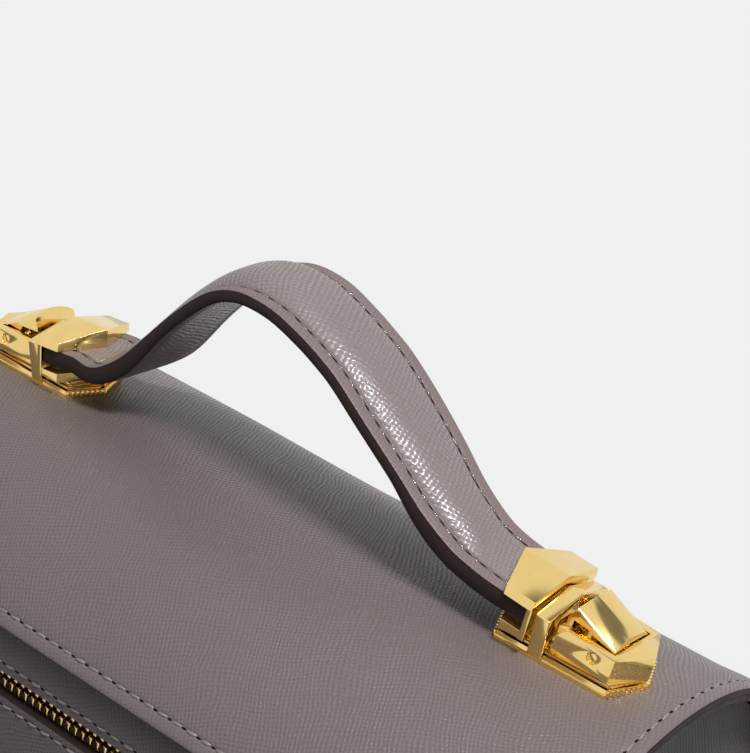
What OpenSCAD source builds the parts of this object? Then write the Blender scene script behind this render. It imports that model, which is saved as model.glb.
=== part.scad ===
// Square flap handbag: a boxy leather body with a barrel-shaped flap, a padded top handle
// and two faceted metal fittings, each a strap clamp, a collar and a sprung strap catch.
// +X to the bag's right, +Y to its back, +Z up. The origin is on the ground below the handle.

/* [Body] */
// Width over the two side panels
body_w = 198; // [180:1:230]
// Depth over the front and back panels
body_d = 105; // [98:1:116]
// Height from the ground to the crown of the flap
crown_h = 200; // [170:1:240]
// Thickness of the front, back and side panels
panel_t = 2.6; // [2.2:0.1:3]
// Thickness of the bottom panel
base_t = 2.4; // [2:0.1:3]
// Thickness of the stiffening board in the bottom
board_t = 2; // [1.5:0.1:2.5]
// Thickness of the lining
lining_t = 0.9; // [0.7:0.1:1.2]

/* [Flap] */
// Radius of the flap's outer curve
flap_r = 70; // [66:1:76]
// Angle of the front edge, measured from the crown
flap_front_angle = 51.6; // [48:0.2:54]
// Angle at which the front panel's curved top ends, measured from the crown
mouth_angle = 34; // [30:1:36]
// How far the flap reaches past each side panel
flap_over = 3; // [2:0.5:5]
// Radius of the fold where the flap meets the back panel
fold_r = 18; // [15:1:20]
// Radius of the front panel's upper bend
bend_r = 12; // [9:1:14]
// Radius of the flap's front corners
corner_r = 9; // [6:1:14]
// Thickness of the flap's outer leather
skin_t = 1.4; // [1.2:0.1:1.6]
// Thickness of the flap's stiffening board
stiff_t = 0.8; // [0.6:0.1:1]
// Thickness of the flap's lining leather
inner_t = 1.2; // [1.1:0.1:1.4]

/* [Handle] */
// Rise of the strap's top from its ends to its highest point
handle_rise = 35.6; // [28:0.1:44]
// Width of the strap in the clamps
handle_end_w = 20.4; // [19:0.1:20.6]
// Width of the strap at its middle
handle_mid_w = 24.6; // [21:0.1:27]
// Thickness of the stitched margins at the middle
handle_mid_t = 3.1; // [2.9:0.1:3.6]
// Thickness of the strap in the clamps
handle_end_t = 4.4; // [4.2:0.1:4.4]
// Height of the padded crown over the margins
pad_rise = 1.7; // [1.2:0.1:2.4]
// Width of each flat stitched margin
margin_w = 4; // [3.5:0.1:4.5]

/* [Fittings] */
// Distance from each end of the body to the fitting's own origin
fitting_inset = 19; // [17:0.5:21]
// Tilt of the fitting's upper parts, with the handle side up
fitting_tilt = 5.9; // [4.5:0.1:6.5]
// Width of the clamp over its eaves
clamp_w = 22; // [21.6:0.1:23]
// Width of the base plate
plate_w = 18.2; // [17.4:0.1:19]
// Width of the catch box at its top
box_w = 16.5; // [16:0.1:17.2]
// Thickness of the catch box's side walls
box_wall = 1.85; // [1.5:0.05:2]
// Diameter of the lever's pivot pin
pin_d = 1.8; // [1.6:0.1:2]

/* [Front zip] */
// Distance from each end of the body to the zip's end stop
zip_inset = 23; // [19:1:32]
// Drop from the top of the flat front to the middle of the zip
zip_drop = 6; // [5.7:0.1:8]
// Height of the slot in the front panel
slot_h = 6; // [6:0.1:7]
// Distance from one tooth to the next
tooth_pitch = 2.2; // [2:0.1:3]

/* [Hidden] */
$fn = 96;

// Overrun of every cut, and a size larger than the whole bag
cut = 0.5;
far = 400;
// Clearances: glued layers, sewn layers, loose fits and gaps between bodies
glue_gap = 0.05;
sewn_gap = 0.2;
loose_gap = 0.3;
run_gap = 0.05;

// Body
half_w = body_w / 2;
half_d = body_d / 2;
arc_z = crown_h - flap_r;
flap_t = skin_t + stiff_t + inner_t;
flap_in_r = flap_r - flap_t;
snap_gap = 1.6;
panel_r = flap_in_r - snap_gap;
inner_half_d = half_d - panel_t;
inner_half_w = half_w - panel_t;
fold_phi = asin((half_d - fold_r) / (flap_r - fold_r));
hinge_z = arc_z + (flap_r - fold_r) * cos(fold_phi);
front_spring_z =
  arc_z + (panel_r - bend_r) * cos(asin((half_d - bend_r) / (panel_r - bend_r)));
side_inset = 2;
fitting_x = half_w - fitting_inset;

// Area under an arch: straight sides at half, an outer arc of radius r about the barrel's
// centre and a bend of radius b between them.
module arch_2d(half, r, b, floor_z) {
  phi = asin((half - b) / (r - b));
  spring_z = arc_z + (r - b) * cos(phi);
  intersection() {
    translate([0, arc_z]) circle(r);
    polygon([[0, arc_z], [-far * sin(phi), arc_z + far * cos(phi)], [0, arc_z + 2 * far],
      [far * sin(phi), arc_z + far * cos(phi)]]);
  }
  for (s = [-1, 1]) translate([s * (half - b), spring_z]) circle(b);
  translate([-half, floor_z]) square([2 * half, spring_z - floor_z]);
}

// Turns a drawing of depth and height into a solid of width w, centred on the bag
module across(w) {
  rotate([90, 0, 90]) translate([0, 0, -w / 2]) linear_extrude(w) children();
}

// Half plane of the bag's front, and the wedge over its mouth
module front_2d() { translate([-far, 0]) square([far, far]); }
module mouth_2d() {
  polygon([[0, arc_z], [-far * sin(mouth_angle), arc_z + far * cos(mouth_angle)],
    [far, far + arc_z], [far, hinge_z - loose_gap], [0, hinge_z - loose_gap]]);
}

module panel_shell_2d(t0, t1) {
  difference() {
    arch_2d(half_d - t0, panel_r - t0, bend_r - t0, 0);
    translate([0, -cut]) arch_2d(half_d - t1, panel_r - t1, bend_r - t1, 0);
    arch_2d(half_d - t1, panel_r - t1, bend_r - t1, 0);
  }
}

// Front zip, kept here because the front panel is cut for it
zip_z = front_spring_z - zip_drop;
zip_len = 2 * (half_w - zip_inset);
stop_w = 3;
slot_half = zip_len / 2 + stop_w + slot_h / 2;
zip_y = -inner_half_d;
tape_h = 4.6;
row_gap = 0.5;
tooth_head = 1.3;
tape_edge = row_gap + tooth_head;

module slot_cut() {
  r = slot_h / 2;
  translate([0, -half_d + panel_t + cut, zip_z]) rotate([90, 0, 0])
    linear_extrude(panel_t + 2 * cut) {
      translate([-slot_half + r, -r]) square([2 * (slot_half - r), slot_h]);
      for (s = [-1, 1]) translate([s * (slot_half - r), 0]) circle(r);
    }
}

// Snaps: a stud on the flap meets a socket on the front panel
snap_x = 50;
snap_angle = 43;
stud_r = 8;
socket_r = 8.5;
stud_sink = 0.5;
stud_gap = 0.35;
socket_drop = 0.1;
stud_base_r = flap_in_r + stud_sink;
stud_tip_r = panel_r + stud_gap;
socket_top_r = panel_r - socket_drop;
socket_t = 2.1;
dimple_r = 3;
dimple_t = 0.6;

module on_barrel(x, angle, r) {
  translate([x, 0, arc_z]) rotate([angle, 0, 0]) translate([0, 0, r]) children();
}
module at_snaps(r) {
  for (s = [-1, 1]) on_barrel(s * snap_x, snap_angle, r) children();
}

module front_panel() {
  color([0.45, 0.41, 0.42]) difference() {
    across(body_w) intersection() {
      panel_shell_2d(0, panel_t);
      front_2d();
      union() {
        polygon([[0, arc_z], [-far * sin(mouth_angle), arc_z + far * cos(mouth_angle)], [-far, arc_z]]);
        translate([-far, 0]) square([far, arc_z + cut]);
      }
    }
    slot_cut();
    at_snaps(socket_top_r - socket_t) cylinder(r = socket_r + run_gap, h = socket_t + panel_t);
  }
}

module back_panel() {
  color([0.45, 0.41, 0.42])
    translate([-half_w, inner_half_d, 0]) cube([body_w, panel_t, hinge_z - loose_gap]);
}

// Side panel between the front and back panels, its top close under the flap
module gusset_2d() {
  lip_r = flap_in_r - loose_gap - sewn_gap;
  lip_half = half_d - flap_t - loose_gap - sewn_gap;
  lip_b = fold_r - flap_t - loose_gap;
  intersection() {
    arch_2d(inner_half_d - run_gap, panel_r - panel_t - run_gap, bend_r - panel_t, base_t);
    front_2d();
  }
  intersection() {
    arch_2d(lip_half, lip_r, lip_b, base_t);
    mouth_2d();
  }
  translate([0, base_t]) square([inner_half_d - run_gap, hinge_z - loose_gap - base_t]);
}
module gusset(s) {
  color([0.27, 0.24, 0.24])
    translate([s * (half_w - side_inset - panel_t / 2), 0, 0]) across(panel_t) gusset_2d();
}

module base_panel() {
  color([0.33, 0.3, 0.31]) translate([-half_w, -inner_half_d + run_gap, 0])
    cube([body_w, 2 * (inner_half_d - run_gap), base_t - run_gap]);
}

// Inside the side panels, which stand in from the ends of the front and back panels
room_half_w = half_w - side_inset - panel_t;
board_inset = 1;
module base_board() {
  color([0.5, 0.45, 0.38]) translate([-room_half_w + board_inset, -inner_half_d + board_inset, base_t])
    cube([2 * (room_half_w - board_inset), 2 * (inner_half_d - board_inset), board_t]);
}

// Lining: a bag of thin leather, open over the mouth. Its front wall stands back from the
// panel to leave room for the zip's pouch.
pouch_room = 4.4;
lining_floor = base_t + board_t + sewn_gap;
lining_half_w = room_half_w - sewn_gap;
lining_half_d = inner_half_d - sewn_gap;
lining_r = panel_r - panel_t - sewn_gap;
lining_b = bend_r - panel_t - sewn_gap;
module lining_2d(t) {
  intersection() {
    arch_2d(lining_half_d - t, lining_r - t, lining_b - t, lining_floor + t);
    union() {
      translate([-lining_half_d + pouch_room + t, 0]) square([far, far]);
      translate([-far, lining_step_z + t]) square([far, far]);
    }
  }
}
lining_step_z = zip_z + tape_edge + tape_h + loose_gap;
module body_lining() {
  color([0.55, 0.5, 0.47]) difference() {
    across(2 * lining_half_w) lining_2d(0);
    across(2 * (lining_half_w - lining_t)) lining_2d(lining_t);
    across(2 * (lining_half_w - lining_t)) intersection() {
      mouth_2d();
      translate([-far, arc_z]) square([lining_half_d - lining_t + far, far]);
    }
  }
}

// Flat slip pocket on the back wall of the lining
pocket_inset = 34;
pocket_w = 2 * (half_w - pocket_inset);
pocket_h = 95;
pocket_drop = 24;
pocket_z = hinge_z - pocket_drop - pocket_h;
pocket_gap = 1.4;
module slip_pocket() {
  t = lining_t;
  y1 = lining_half_d - lining_t - run_gap;
  color([0.55, 0.5, 0.47]) difference() {
    translate([-pocket_w / 2, y1 - t - pocket_gap, pocket_z]) cube([pocket_w, t + pocket_gap, pocket_h]);
    translate([-pocket_w / 2 + t, y1 - pocket_gap, pocket_z + t])
      cube([pocket_w - 2 * t, pocket_gap + cut, pocket_h]);
  }
}

// Zip: two tapes behind the slot, a row of teeth on each and a stop at each end
tape_t = 0.6;
tooth_w = 1.1;
tooth_reach = 2;
tooth_t = 2;
tape_y = zip_y + run_gap;
tooth_y = tape_y + tape_t / 2;
tape_over = 5;
module zip_tapes() {
  color([0.36, 0.32, 0.33]) for (s = [-1, 1])
    translate([-slot_half - tape_over, tape_y, zip_z + (s > 0 ? tape_edge : -tape_edge - tape_h)])
      cube([2 * (slot_half + tape_over), tape_t, tape_h]);
}
module tooth_2d() {
  neck = tooth_w * 0.32;
  polygon([[-tooth_w / 2, row_gap], [-tooth_w / 2, row_gap + tooth_head / 2], [-neck, row_gap + tooth_head],
    [-tooth_w / 2, row_gap + tooth_reach], [tooth_w / 2, row_gap + tooth_reach], [neck, row_gap + tooth_head],
    [tooth_w / 2, row_gap + tooth_head / 2], [tooth_w / 2, row_gap]]);
}
module tooth() {
  translate([0, tooth_y + tooth_t / 2, zip_z]) rotate([90, 0, 0]) difference() {
    linear_extrude(tooth_t) tooth_2d();
    translate([-tooth_w, tape_edge - glue_gap, (tooth_t - tape_t) / 2 - glue_gap])
      cube([2 * tooth_w, tooth_reach, tape_t + 2 * glue_gap]);
  }
}
module zip_teeth() {
  count = floor((zip_len - 2 * stop_w) / tooth_pitch);
  color([0.83, 0.68, 0.38]) for (i = [0 : count - 1]) {
    x = (i - (count - 1) / 2) * tooth_pitch;
    translate([x - tooth_pitch / 4, 0, 0]) tooth();
    translate([x + tooth_pitch / 4, 0, 2 * zip_z]) mirror([0, 0, 1]) tooth();
  }
}
module zip_stops() {
  h = 2 * (row_gap + tooth_reach);
  color([0.83, 0.68, 0.38]) for (s = [-1, 1])
    translate([s * (zip_len / 2 + stop_w / 2) - stop_w / 2, zip_y - tooth_t / 2 - run_gap, zip_z - h / 2])
      cube([stop_w, tooth_t / 2, h]);
}
// Pocket bag behind the zip: a flat pouch, open to the slot
pouch_over = 9;
pouch_w = zip_len + 2 * pouch_over;
pouch_h = 118;
pouch_rise = 4.4;
module zip_pouch() {
  t = lining_t / 2;
  y0 = tape_y + tape_t + run_gap;
  y1 = y0 + pouch_room - 2 * run_gap - tape_t - sewn_gap;
  z1 = zip_z + pouch_rise;
  color([0.5, 0.46, 0.44]) difference() {
    translate([-pouch_w / 2, y0, z1 - pouch_h]) cube([pouch_w, y1 - y0, pouch_h]);
    translate([-pouch_w / 2 + t, y0 - cut, z1 - pouch_h + t])
      cube([pouch_w - 2 * t, y1 - y0 - t + cut, pouch_h - 2 * t]);
  }
}

// Slider: a front and a back plate round the teeth, joined by a post in the slit between the rows
slider_len = 9;
slot_play = 0.3;
stop_play = 0.4;
slider_h = slot_h - 2 * slot_play;
slider_x = zip_len / 2 - slider_len / 2 - stop_play;
slider_plate = 0.9;
plate_gap = 0.3;
post_t = 0.6;
lug_t = 1.6;
lug_r = 1.5;
lug_hole_r = 0.8;
post_in = 2.4;
post_len = 2;
pull_proud = 1;
pull_axis_y = -half_d - pull_proud;
front_face_y = tooth_y - tooth_t / 2 - plate_gap;
back_face_y = tooth_y + tooth_t / 2 + plate_gap;
module slider_plate_2d() {
  h = slider_h / 2;
  polygon([[-slider_len / 2, -h * 0.72], [-slider_len / 2, h * 0.72], [-slider_len * 0.1, h],
    [slider_len / 2, h], [slider_len / 2, -h], [-slider_len * 0.1, -h]]);
}
module zip_slider() {
  color([0.83, 0.68, 0.38]) translate([slider_x, 0, zip_z]) {
    translate([0, front_face_y, 0]) rotate([90, 0, 0]) linear_extrude(slider_plate) slider_plate_2d();
    translate([0, back_face_y + slider_plate, 0]) rotate([90, 0, 0])
      linear_extrude(slider_plate) slider_plate_2d();
    translate([slider_len / 2 - post_in, front_face_y - slider_plate / 2, -post_t / 2])
      cube([post_len, back_face_y - front_face_y + slider_plate, post_t]);
    difference() {
      union() {
        translate([-lug_r, pull_axis_y, -lug_t / 2])
          cube([2 * lug_r, front_face_y - slider_plate / 2 - pull_axis_y, lug_t]);
        translate([0, pull_axis_y, -lug_t / 2]) cylinder(r = lug_r, h = lug_t);
      }
      translate([0, pull_axis_y, -lug_t]) cylinder(r = lug_hole_r, h = 2 * lug_t);
    }
  }
}
// Pull: a forked tab that swings out on its own pin
pull_len = 20;
pull_w = 5.4;
pull_t = 1.2;
fork_t = 1;
fork_gap = 0.25;
fork_r = 1.3;
fork_len = 3;
fork_lap = 0.4;
eye_r = 1.1;
module zip_pull() {
  fork_in = lug_t / 2 + fork_gap;
  color([0.83, 0.68, 0.38]) translate([slider_x, pull_axis_y, zip_z]) {
    translate([0, 0, -fork_in - fork_t]) cylinder(r = lug_hole_r - run_gap, h = 2 * (fork_in + fork_t));
    difference() {
      union() {
        translate([0, 0, -fork_in - fork_t]) cylinder(r = fork_r, h = fork_t);
        translate([0, 0, fork_in]) cylinder(r = fork_r, h = fork_t);
        translate([-pull_len, pull_t / 2, 0]) rotate([90, 0, 0]) linear_extrude(pull_t) {
          translate([pull_w / 2, -pull_w / 2]) square([pull_len - pull_w / 2 - fork_len + fork_lap, pull_w]);
          translate([pull_w / 2, 0]) circle(pull_w / 2);
          for (s = [-1, 1]) translate([pull_len - fork_len, s * (fork_in + fork_t / 2) - fork_t / 2])
            square([fork_len, fork_t]);
        }
      }
      translate([-pull_len + pull_w / 2, pull_t, 0]) rotate([90, 0, 0]) cylinder(r = eye_r, h = 2 * pull_t);
    }
  }
}

module snap_sockets() {
  color([0.83, 0.68, 0.38]) at_snaps(socket_top_r - socket_t) difference() {
    cylinder(r = socket_r, h = socket_t);
    translate([0, 0, socket_t - dimple_t]) cylinder(r = dimple_r, h = dimple_t + cut);
  }
}
module snap_studs() {
  color([0.83, 0.68, 0.38]) at_snaps(stud_tip_r) cylinder(r = stud_r, h = stud_base_r - stud_tip_r);
}

// Flap: outer leather, board and lining, all on one barrel and folded down at the back
module flap_area_2d(inset) {
  intersection() {
    translate([0, arc_z]) circle(flap_r - inset);
    translate([-far, 0]) square([far, far]);
  }
  intersection() {
    arch_2d(half_d - inset, flap_r - inset, fold_r - inset, 0);
    square([far, far]);
  }
}
module flap_span_2d(angle) {
  polygon([[0, arc_z], [-far * sin(angle), arc_z + far * cos(angle)], [-far, far + arc_z],
    [far, far + arc_z], [far, hinge_z], [0, hinge_z]]);
}
module flap_plan(inset) {
  w = half_w + flap_over - inset;
  front = flap_r * sin(flap_front_angle) - inset;
  r = corner_r;
  linear_extrude(far) {
    translate([-w + r, -front]) square([2 * (w - r), front + far]);
    translate([-w, -front + r]) square([2 * w, front + far]);
    for (s = [-1, 1]) translate([s * (w - r), -front + r]) circle(r);
  }
}
module flap_layer(t0, t1, inset) {
  intersection() {
    across(2 * (half_w + flap_over)) intersection() {
      difference() {
        flap_area_2d(t0);
        flap_area_2d(t1);
      }
      flap_span_2d(flap_front_angle);
    }
    flap_plan(inset);
  }
}
module flap_leather() {
  color([0.5, 0.46, 0.47]) difference() {
    flap_layer(0, skin_t, 0);
    at_sides() screw_holes(hole_r);
  }
}
module flap_board() {
  color([0.6, 0.55, 0.48]) difference() {
    flap_layer(skin_t + glue_gap, skin_t + stiff_t, board_edge);
    at_sides() backing_block(sewn_gap, flap_r);
  }
}
module flap_lining() {
  color([0.4, 0.36, 0.37]) difference() {
    flap_layer(skin_t + stiff_t + glue_gap, flap_t, 0);
    at_sides() {
      backing_block(sewn_gap, flap_r);
      screw_heads(head_r + run_gap, head_t + glue_gap, backing_t);
    }
    at_snaps(stud_tip_r) cylinder(r = stud_r + run_gap, h = stud_base_r - stud_tip_r + glue_gap);
  }
}
board_edge = 4;

// Handle: the strap's line as shares of its half length and of its rise, from left to right.
// Leather handles settle a little to one side, so the two halves differ.
handle_shares = [[-1, 0], [-0.928, 0.014], [-0.857, 0.027], [-0.795, 0.017], [-0.731, 0.072],
  [-0.64, 0.217], [-0.529, 0.459], [-0.421, 0.691], [-0.316, 0.879], [-0.234, 0.966], [-0.149, 1],
  [-0.034, 0.983], [0.086, 0.91], [0.178, 0.832], [0.25, 0.753], [0.379, 0.571], [0.493, 0.4],
  [0.602, 0.228], [0.708, 0.104], [0.782, 0.056], [0.857, 0.028], [0.928, 0.014], [1, 0]];
handle_foot_rise = 10.6;
handle_foot_z = crown_h + handle_foot_rise;
strap_seat = 11.6;
handle_half = fitting_x - strap_seat;
strap_leather_t = 1.2;
steps = 2;
function smooth(u) = let (v = min(1, max(0, u))) v * v * (3 - 2 * v);
function catmull(a, b, c, d, t) =
  0.5 * ((2 * b) + (c - a) * t + (2 * a - 5 * b + 4 * c - d) * t * t + (3 * b - a - 3 * c + d) * t * t * t);
last = len(handle_shares) - 1;
function knot(i) = handle_shares[min(last, max(0, i))];
strap_shares = [for (i = [0 : last - 1], k = [0 : steps - 1])
  catmull(knot(i - 1), knot(i), knot(i + 1), knot(i + 2), k / steps), knot(last)];
strap_line = [for (q = strap_shares) [q[0] * handle_half, handle_foot_z + q[1] * handle_rise]];
rings = len(strap_line);
function strap_dir(i) =
  let (d = strap_line[min(rings - 1, i + 1)] - strap_line[max(0, i - 1)]) d / norm(d);
// How far a station is into the end of the strap, from 0 at the middle to 1 in the clamp
function end_share(i) = smooth((abs(strap_shares[i][0]) - 0.3) / 0.5);
function strap_half(i) = handle_mid_w / 2 + (handle_end_w - handle_mid_w) / 2 * end_share(i);
function strap_t(i) =
  handle_mid_t + (handle_end_t - handle_mid_t) * smooth((abs(strap_shares[i][0]) - 0.48) / 0.2);
function dome_rise(i) = pad_rise * (1 - smooth((abs(strap_shares[i][0]) - 0.66) / 0.18));
function pad_half(i) = strap_half(i) - margin_w;
function crown_at(i, share) = dome_rise(i) * pow(1 - share * share, 0.8);
function place(i, y, d) =
  let (t = strap_dir(i)) [strap_line[i][0] - t[1] * d, y, strap_line[i][1] + t[0] * d];
core_shares = [-0.85, -0.6, -0.3, 0, 0.3, 0.6, 0.85];
crown_shares = concat([-1], core_shares, [1]);

// Closed skin through equal rings, each a top line and a bottom line of as many points
function ring(top, bottom) = concat(top, [for (k = [len(bottom) - 1 : -1 : 0]) bottom[k]]);
module loft(sections) {
  n = len(sections[0]);
  m = len(sections);
  end = (m - 1) * n;
  polyhedron(
    points = [for (s = sections) each s],
    faces = concat(
      [for (k = [0 : n / 2 - 2], h = [0, 1])
        h == 0 ? [k, k + 1, n - 2 - k] : [k, n - 2 - k, n - 1 - k]],
      [for (i = [0 : m - 2], k = [0 : n - 1], h = [0, 1])
        let (a = i * n + k, b = i * n + (k + 1) % n)
        h == 0 ? [a, a + n, b + n] : [a, b + n, b]],
      [for (k = [0 : n / 2 - 2], h = [0, 1])
        h == 0 ? [end + n - 2 - k, end + k + 1, end + k] : [end + n - 1 - k, end + n - 2 - k, end + k]]));
}
function upper_ring(i) =
  let (w = strap_half(i), p = pad_half(i), t = strap_t(i) / 2) ring(
    concat([place(i, -w, 0)], [for (s = crown_shares) place(i, s * p, crown_at(i, s))], [place(i, w, 0)]),
    concat([place(i, -w, -t), place(i, -p, -t)],
      [for (s = core_shares) place(i, s * p, crown_at(i, s) - strap_leather_t)],
      [place(i, p, -t), place(i, w, -t)]));
function core_ring(i) =
  let (p = pad_half(i), t = strap_t(i) / 2) ring(
    [for (s = core_shares) place(i, s * p, crown_at(i, s) - strap_leather_t - glue_gap)],
    [for (s = core_shares) place(i, s * p, -t)]);
function lower_ring(i) =
  let (w = strap_half(i), t = strap_t(i)) ring(
    [place(i, -w, -t / 2 - glue_gap), place(i, w, -t / 2 - glue_gap)], [place(i, -w, -t), place(i, w, -t)]);
module handle_upper() {
  color([0.56, 0.52, 0.53]) difference() {
    loft([for (i = [0 : rings - 1]) upper_ring(i)]);
    at_sides() screw_holes(hole_r);
  }
}
module handle_core() {
  color([0.8, 0.78, 0.74]) difference() {
    loft([for (i = [0 : rings - 1]) core_ring(i)]);
    at_sides() screw_holes(hole_r);
  }
}
module handle_lower() {
  color([0.5, 0.46, 0.47]) difference() {
    loft([for (i = [0 : rings - 1]) lower_ring(i)]);
    at_sides() screw_holes(hole_r);
  }
}

// Fittings. Each is drawn for the right side in its own tilted frame: x runs outward from the
// fitting's origin, z is square to its steps. The left one is its mirror image.
module at_side(s) {
  if (s > 0) children();
  else mirror([1, 0, 0]) children();
}
module at_sides() {
  for (s = [-1, 1]) at_side(s) children();
}
module tilted() {
  translate([fitting_x, 0, crown_h]) rotate([0, fitting_tilt, 0]) children();
}
module upright() {
  translate([fitting_x, 0, crown_h]) children();
}
// Profile of width and height, drawn across the fitting from x0 to x1
module between(x0, x1) {
  translate([x0, 0, 0]) rotate([90, 0, 90]) linear_extrude(x1 - x0) children();
}
// Profile of length and height, drawn along the fitting over the width w
module along(w) {
  translate([0, w / 2, 0]) rotate([90, 0, 0]) linear_extrude(w) children();
}

// Base plate: a slab with beaded pointed ends lies flat on the flap, its underside shaped to it.
// Thin fins stand out from the core above it, which carries the clamp and the tilted catch box.
plate_in_x = -18.4;
plate_out_x = 7.8;
plate_point = 4.1;
plate_lip_z = 0.35;
slab_z = 1.35;
slab_inset = 0.3;
fin_z = [1.8, 2.75];
fin_inset = [0.7, 1.1];
fin_t = 0.42;
core_inset = 1.9;
clamp_seat_z = 3.3;
box_seat_z = 3.45;
bead_r = 0.48;
beads = 8;
hole_r = 1.35;
clamp_screw_x = -15.2;
clamp_screw_y = 5;
nose_screw_x = 8.4;
plate_depth = 4;
bead_drop = 0.12;
module plate_2d(inset, x0, x1) {
  w = plate_w / 2 - inset;
  polygon([[x0, -w], [x0 - plate_point + inset, 0], [x0, w], [x1, w], [x1 + plate_point - inset, 0],
    [x1, -w]]);
}
module screw_holes(r) {
  upright() {
    for (s = [-1, 1]) translate([clamp_screw_x, s * clamp_screw_y, -flap_t]) cylinder(r = r, h = clamp_top_z);
    translate([nose_screw_x, 0, -flap_t]) cylinder(r = r, h = nose_top_z);
  }
}
clamp_top_z = 16.2;
nose_top_z = 9.6;
module flap_cut(inset) {
  across(2 * (half_w + flap_over)) translate([0, arc_z]) circle(flap_r - inset, $fn = 360);
}
module level_block(top_z) {
  upright() translate([-far / 2, -far / 2, -far]) cube([far, far, far + top_z]);
}
// The outline at an inset, on the clamp's side or the catch's side of the collar
module plate_part_2d(inset, catch_side) {
  intersection() {
    plate_2d(inset, plate_in_x, plate_out_x);
    translate([collar_x1 + loose_gap - (catch_side ? 0 : far), -plate_w]) square([far, 2 * plate_w]);
  }
}
module base_plate(s) {
  color([0.86, 0.7, 0.36]) at_side(s) difference() {
    union() {
      upright() {
        translate([0, 0, -plate_depth])
          linear_extrude(plate_depth + plate_lip_z) plate_2d(0, plate_in_x, plate_out_x);
        linear_extrude(slab_z) plate_2d(slab_inset, plate_in_x, plate_out_x);
        translate([0, 0, fin_z[0]]) linear_extrude(fin_t) plate_2d(fin_inset[0], plate_in_x, plate_out_x);
        translate([0, 0, fin_z[1]]) linear_extrude(fin_t) plate_part_2d(fin_inset[1], false);
        linear_extrude(clamp_seat_z) plate_part_2d(core_inset, false);
        for (e = [-1, 1], k = [0.5 : beads]) {
          u = k / beads;
          x = (plate_point - slab_inset) * u;
          y = e * (plate_w / 2 - slab_inset) * (1 - u);
          translate([plate_in_x - x, y, 0]) cylinder(r = bead_r, h = slab_z - bead_drop, $fn = 24);
          translate([plate_out_x + x, y, 0]) cylinder(r = bead_r, h = slab_z - bead_drop, $fn = 24);
        }
      }
      tilted() {
        linear_extrude(box_seat_z) plate_part_2d(core_inset, true);
        translate([0, 0, box_seat_z - fin_t]) linear_extrude(fin_t) plate_part_2d(fin_inset[0], true);
      }
    }
    flap_cut(0);
    screw_holes(hole_r);
    difference() {
      tilted() collar_legs(run_gap);
      level_block(plate_lip_z);
    }
  }
}

// Strap clamp: a faceted roof, an end wall and a wedge of a floor, open at the sides and the
// handle end
clamp_x0 = -17.6;
clamp_x1 = -11.1;
clamp_point = 4.4;
floor_z1 = 3.7;
roof_z = 9.4;
eave_z = 11.45;
ridge_z = 13.6;
wall_t = 1.3;
clamp_facet = 0.35;
module clamp_2d(inset) {
  w = clamp_w / 2 - inset;
  polygon([[clamp_x0 + inset, -w], [clamp_x0 - clamp_point + inset, 0], [clamp_x0 + inset, w],
    [clamp_x1, w], [clamp_x1, -w]]);
}
module strap_clamp(s) {
  w = clamp_w / 2;
  color([0.9, 0.75, 0.42]) at_side(s) difference() {
    tilted() {
      intersection() {
        linear_extrude(ridge_z + cut) clamp_2d(-clamp_facet);
        between(clamp_x0 - 2 * clamp_point, clamp_x1)
          polygon([[-w - clamp_facet, roof_z], [-w, eave_z], [0, ridge_z], [w, eave_z],
            [w + clamp_facet, roof_z]]);
      }
      linear_extrude(floor_z1) clamp_2d(clamp_facet);
      translate([clamp_x1 - wall_t, -w, 0]) cube([wall_t, clamp_w, roof_z + wall_t]);
    }
    level_block(clamp_seat_z + glue_gap);
    screw_holes(screw_r);
  }
}

// Collar: a gabled arch over the base plate, its legs down to the plate's lip
collar_x0 = -10.6;
collar_x1 = -7.2;
collar_shoulder_z = 9.1;
collar_ridge_z = 11.85;
collar_w = 20.8;
collar_foot_w = 17.2;
collar_rim = 1.1;
collar_leg = 3.8;
collar_depth = 4;
leg_room = 3;
arch_corner_w = 0.9;
arch_corner_h = 1.2;
arch_rise = 0.2;
module collar_legs(gap) {
  w = collar_w / 2;
  in_w = w - collar_leg - gap;
  foot = collar_foot_w / 2 + leg_room;
  between(collar_x0 - gap, collar_x1 + gap) for (e = [-1, 1])
    polygon([[e * foot, -collar_depth], [e * w, collar_shoulder_z], [e * in_w, collar_shoulder_z],
      [e * in_w, -collar_depth]]);
}
module collar(s) {
  w = collar_w / 2;
  f = collar_foot_w / 2;
  in_w = w - collar_leg;
  in_z = collar_shoulder_z - collar_rim * 0.6;
  color([0.9, 0.75, 0.42]) at_side(s) difference() {
    tilted() between(collar_x0, collar_x1) difference() {
      polygon([[-f, -collar_depth], [-w, collar_shoulder_z], [0, collar_ridge_z], [w, collar_shoulder_z],
        [f, -collar_depth]]);
      polygon([[-in_w, -collar_depth - cut], [-in_w, in_z - arch_corner_h],
        [-in_w + arch_corner_w, in_z + arch_rise], [0, collar_ridge_z - collar_rim],
        [in_w - arch_corner_w, in_z + arch_rise], [in_w, in_z - arch_corner_h],
        [in_w, -collar_depth - cut]]);
    }
    level_block(plate_lip_z + glue_gap);
  }
}

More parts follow.
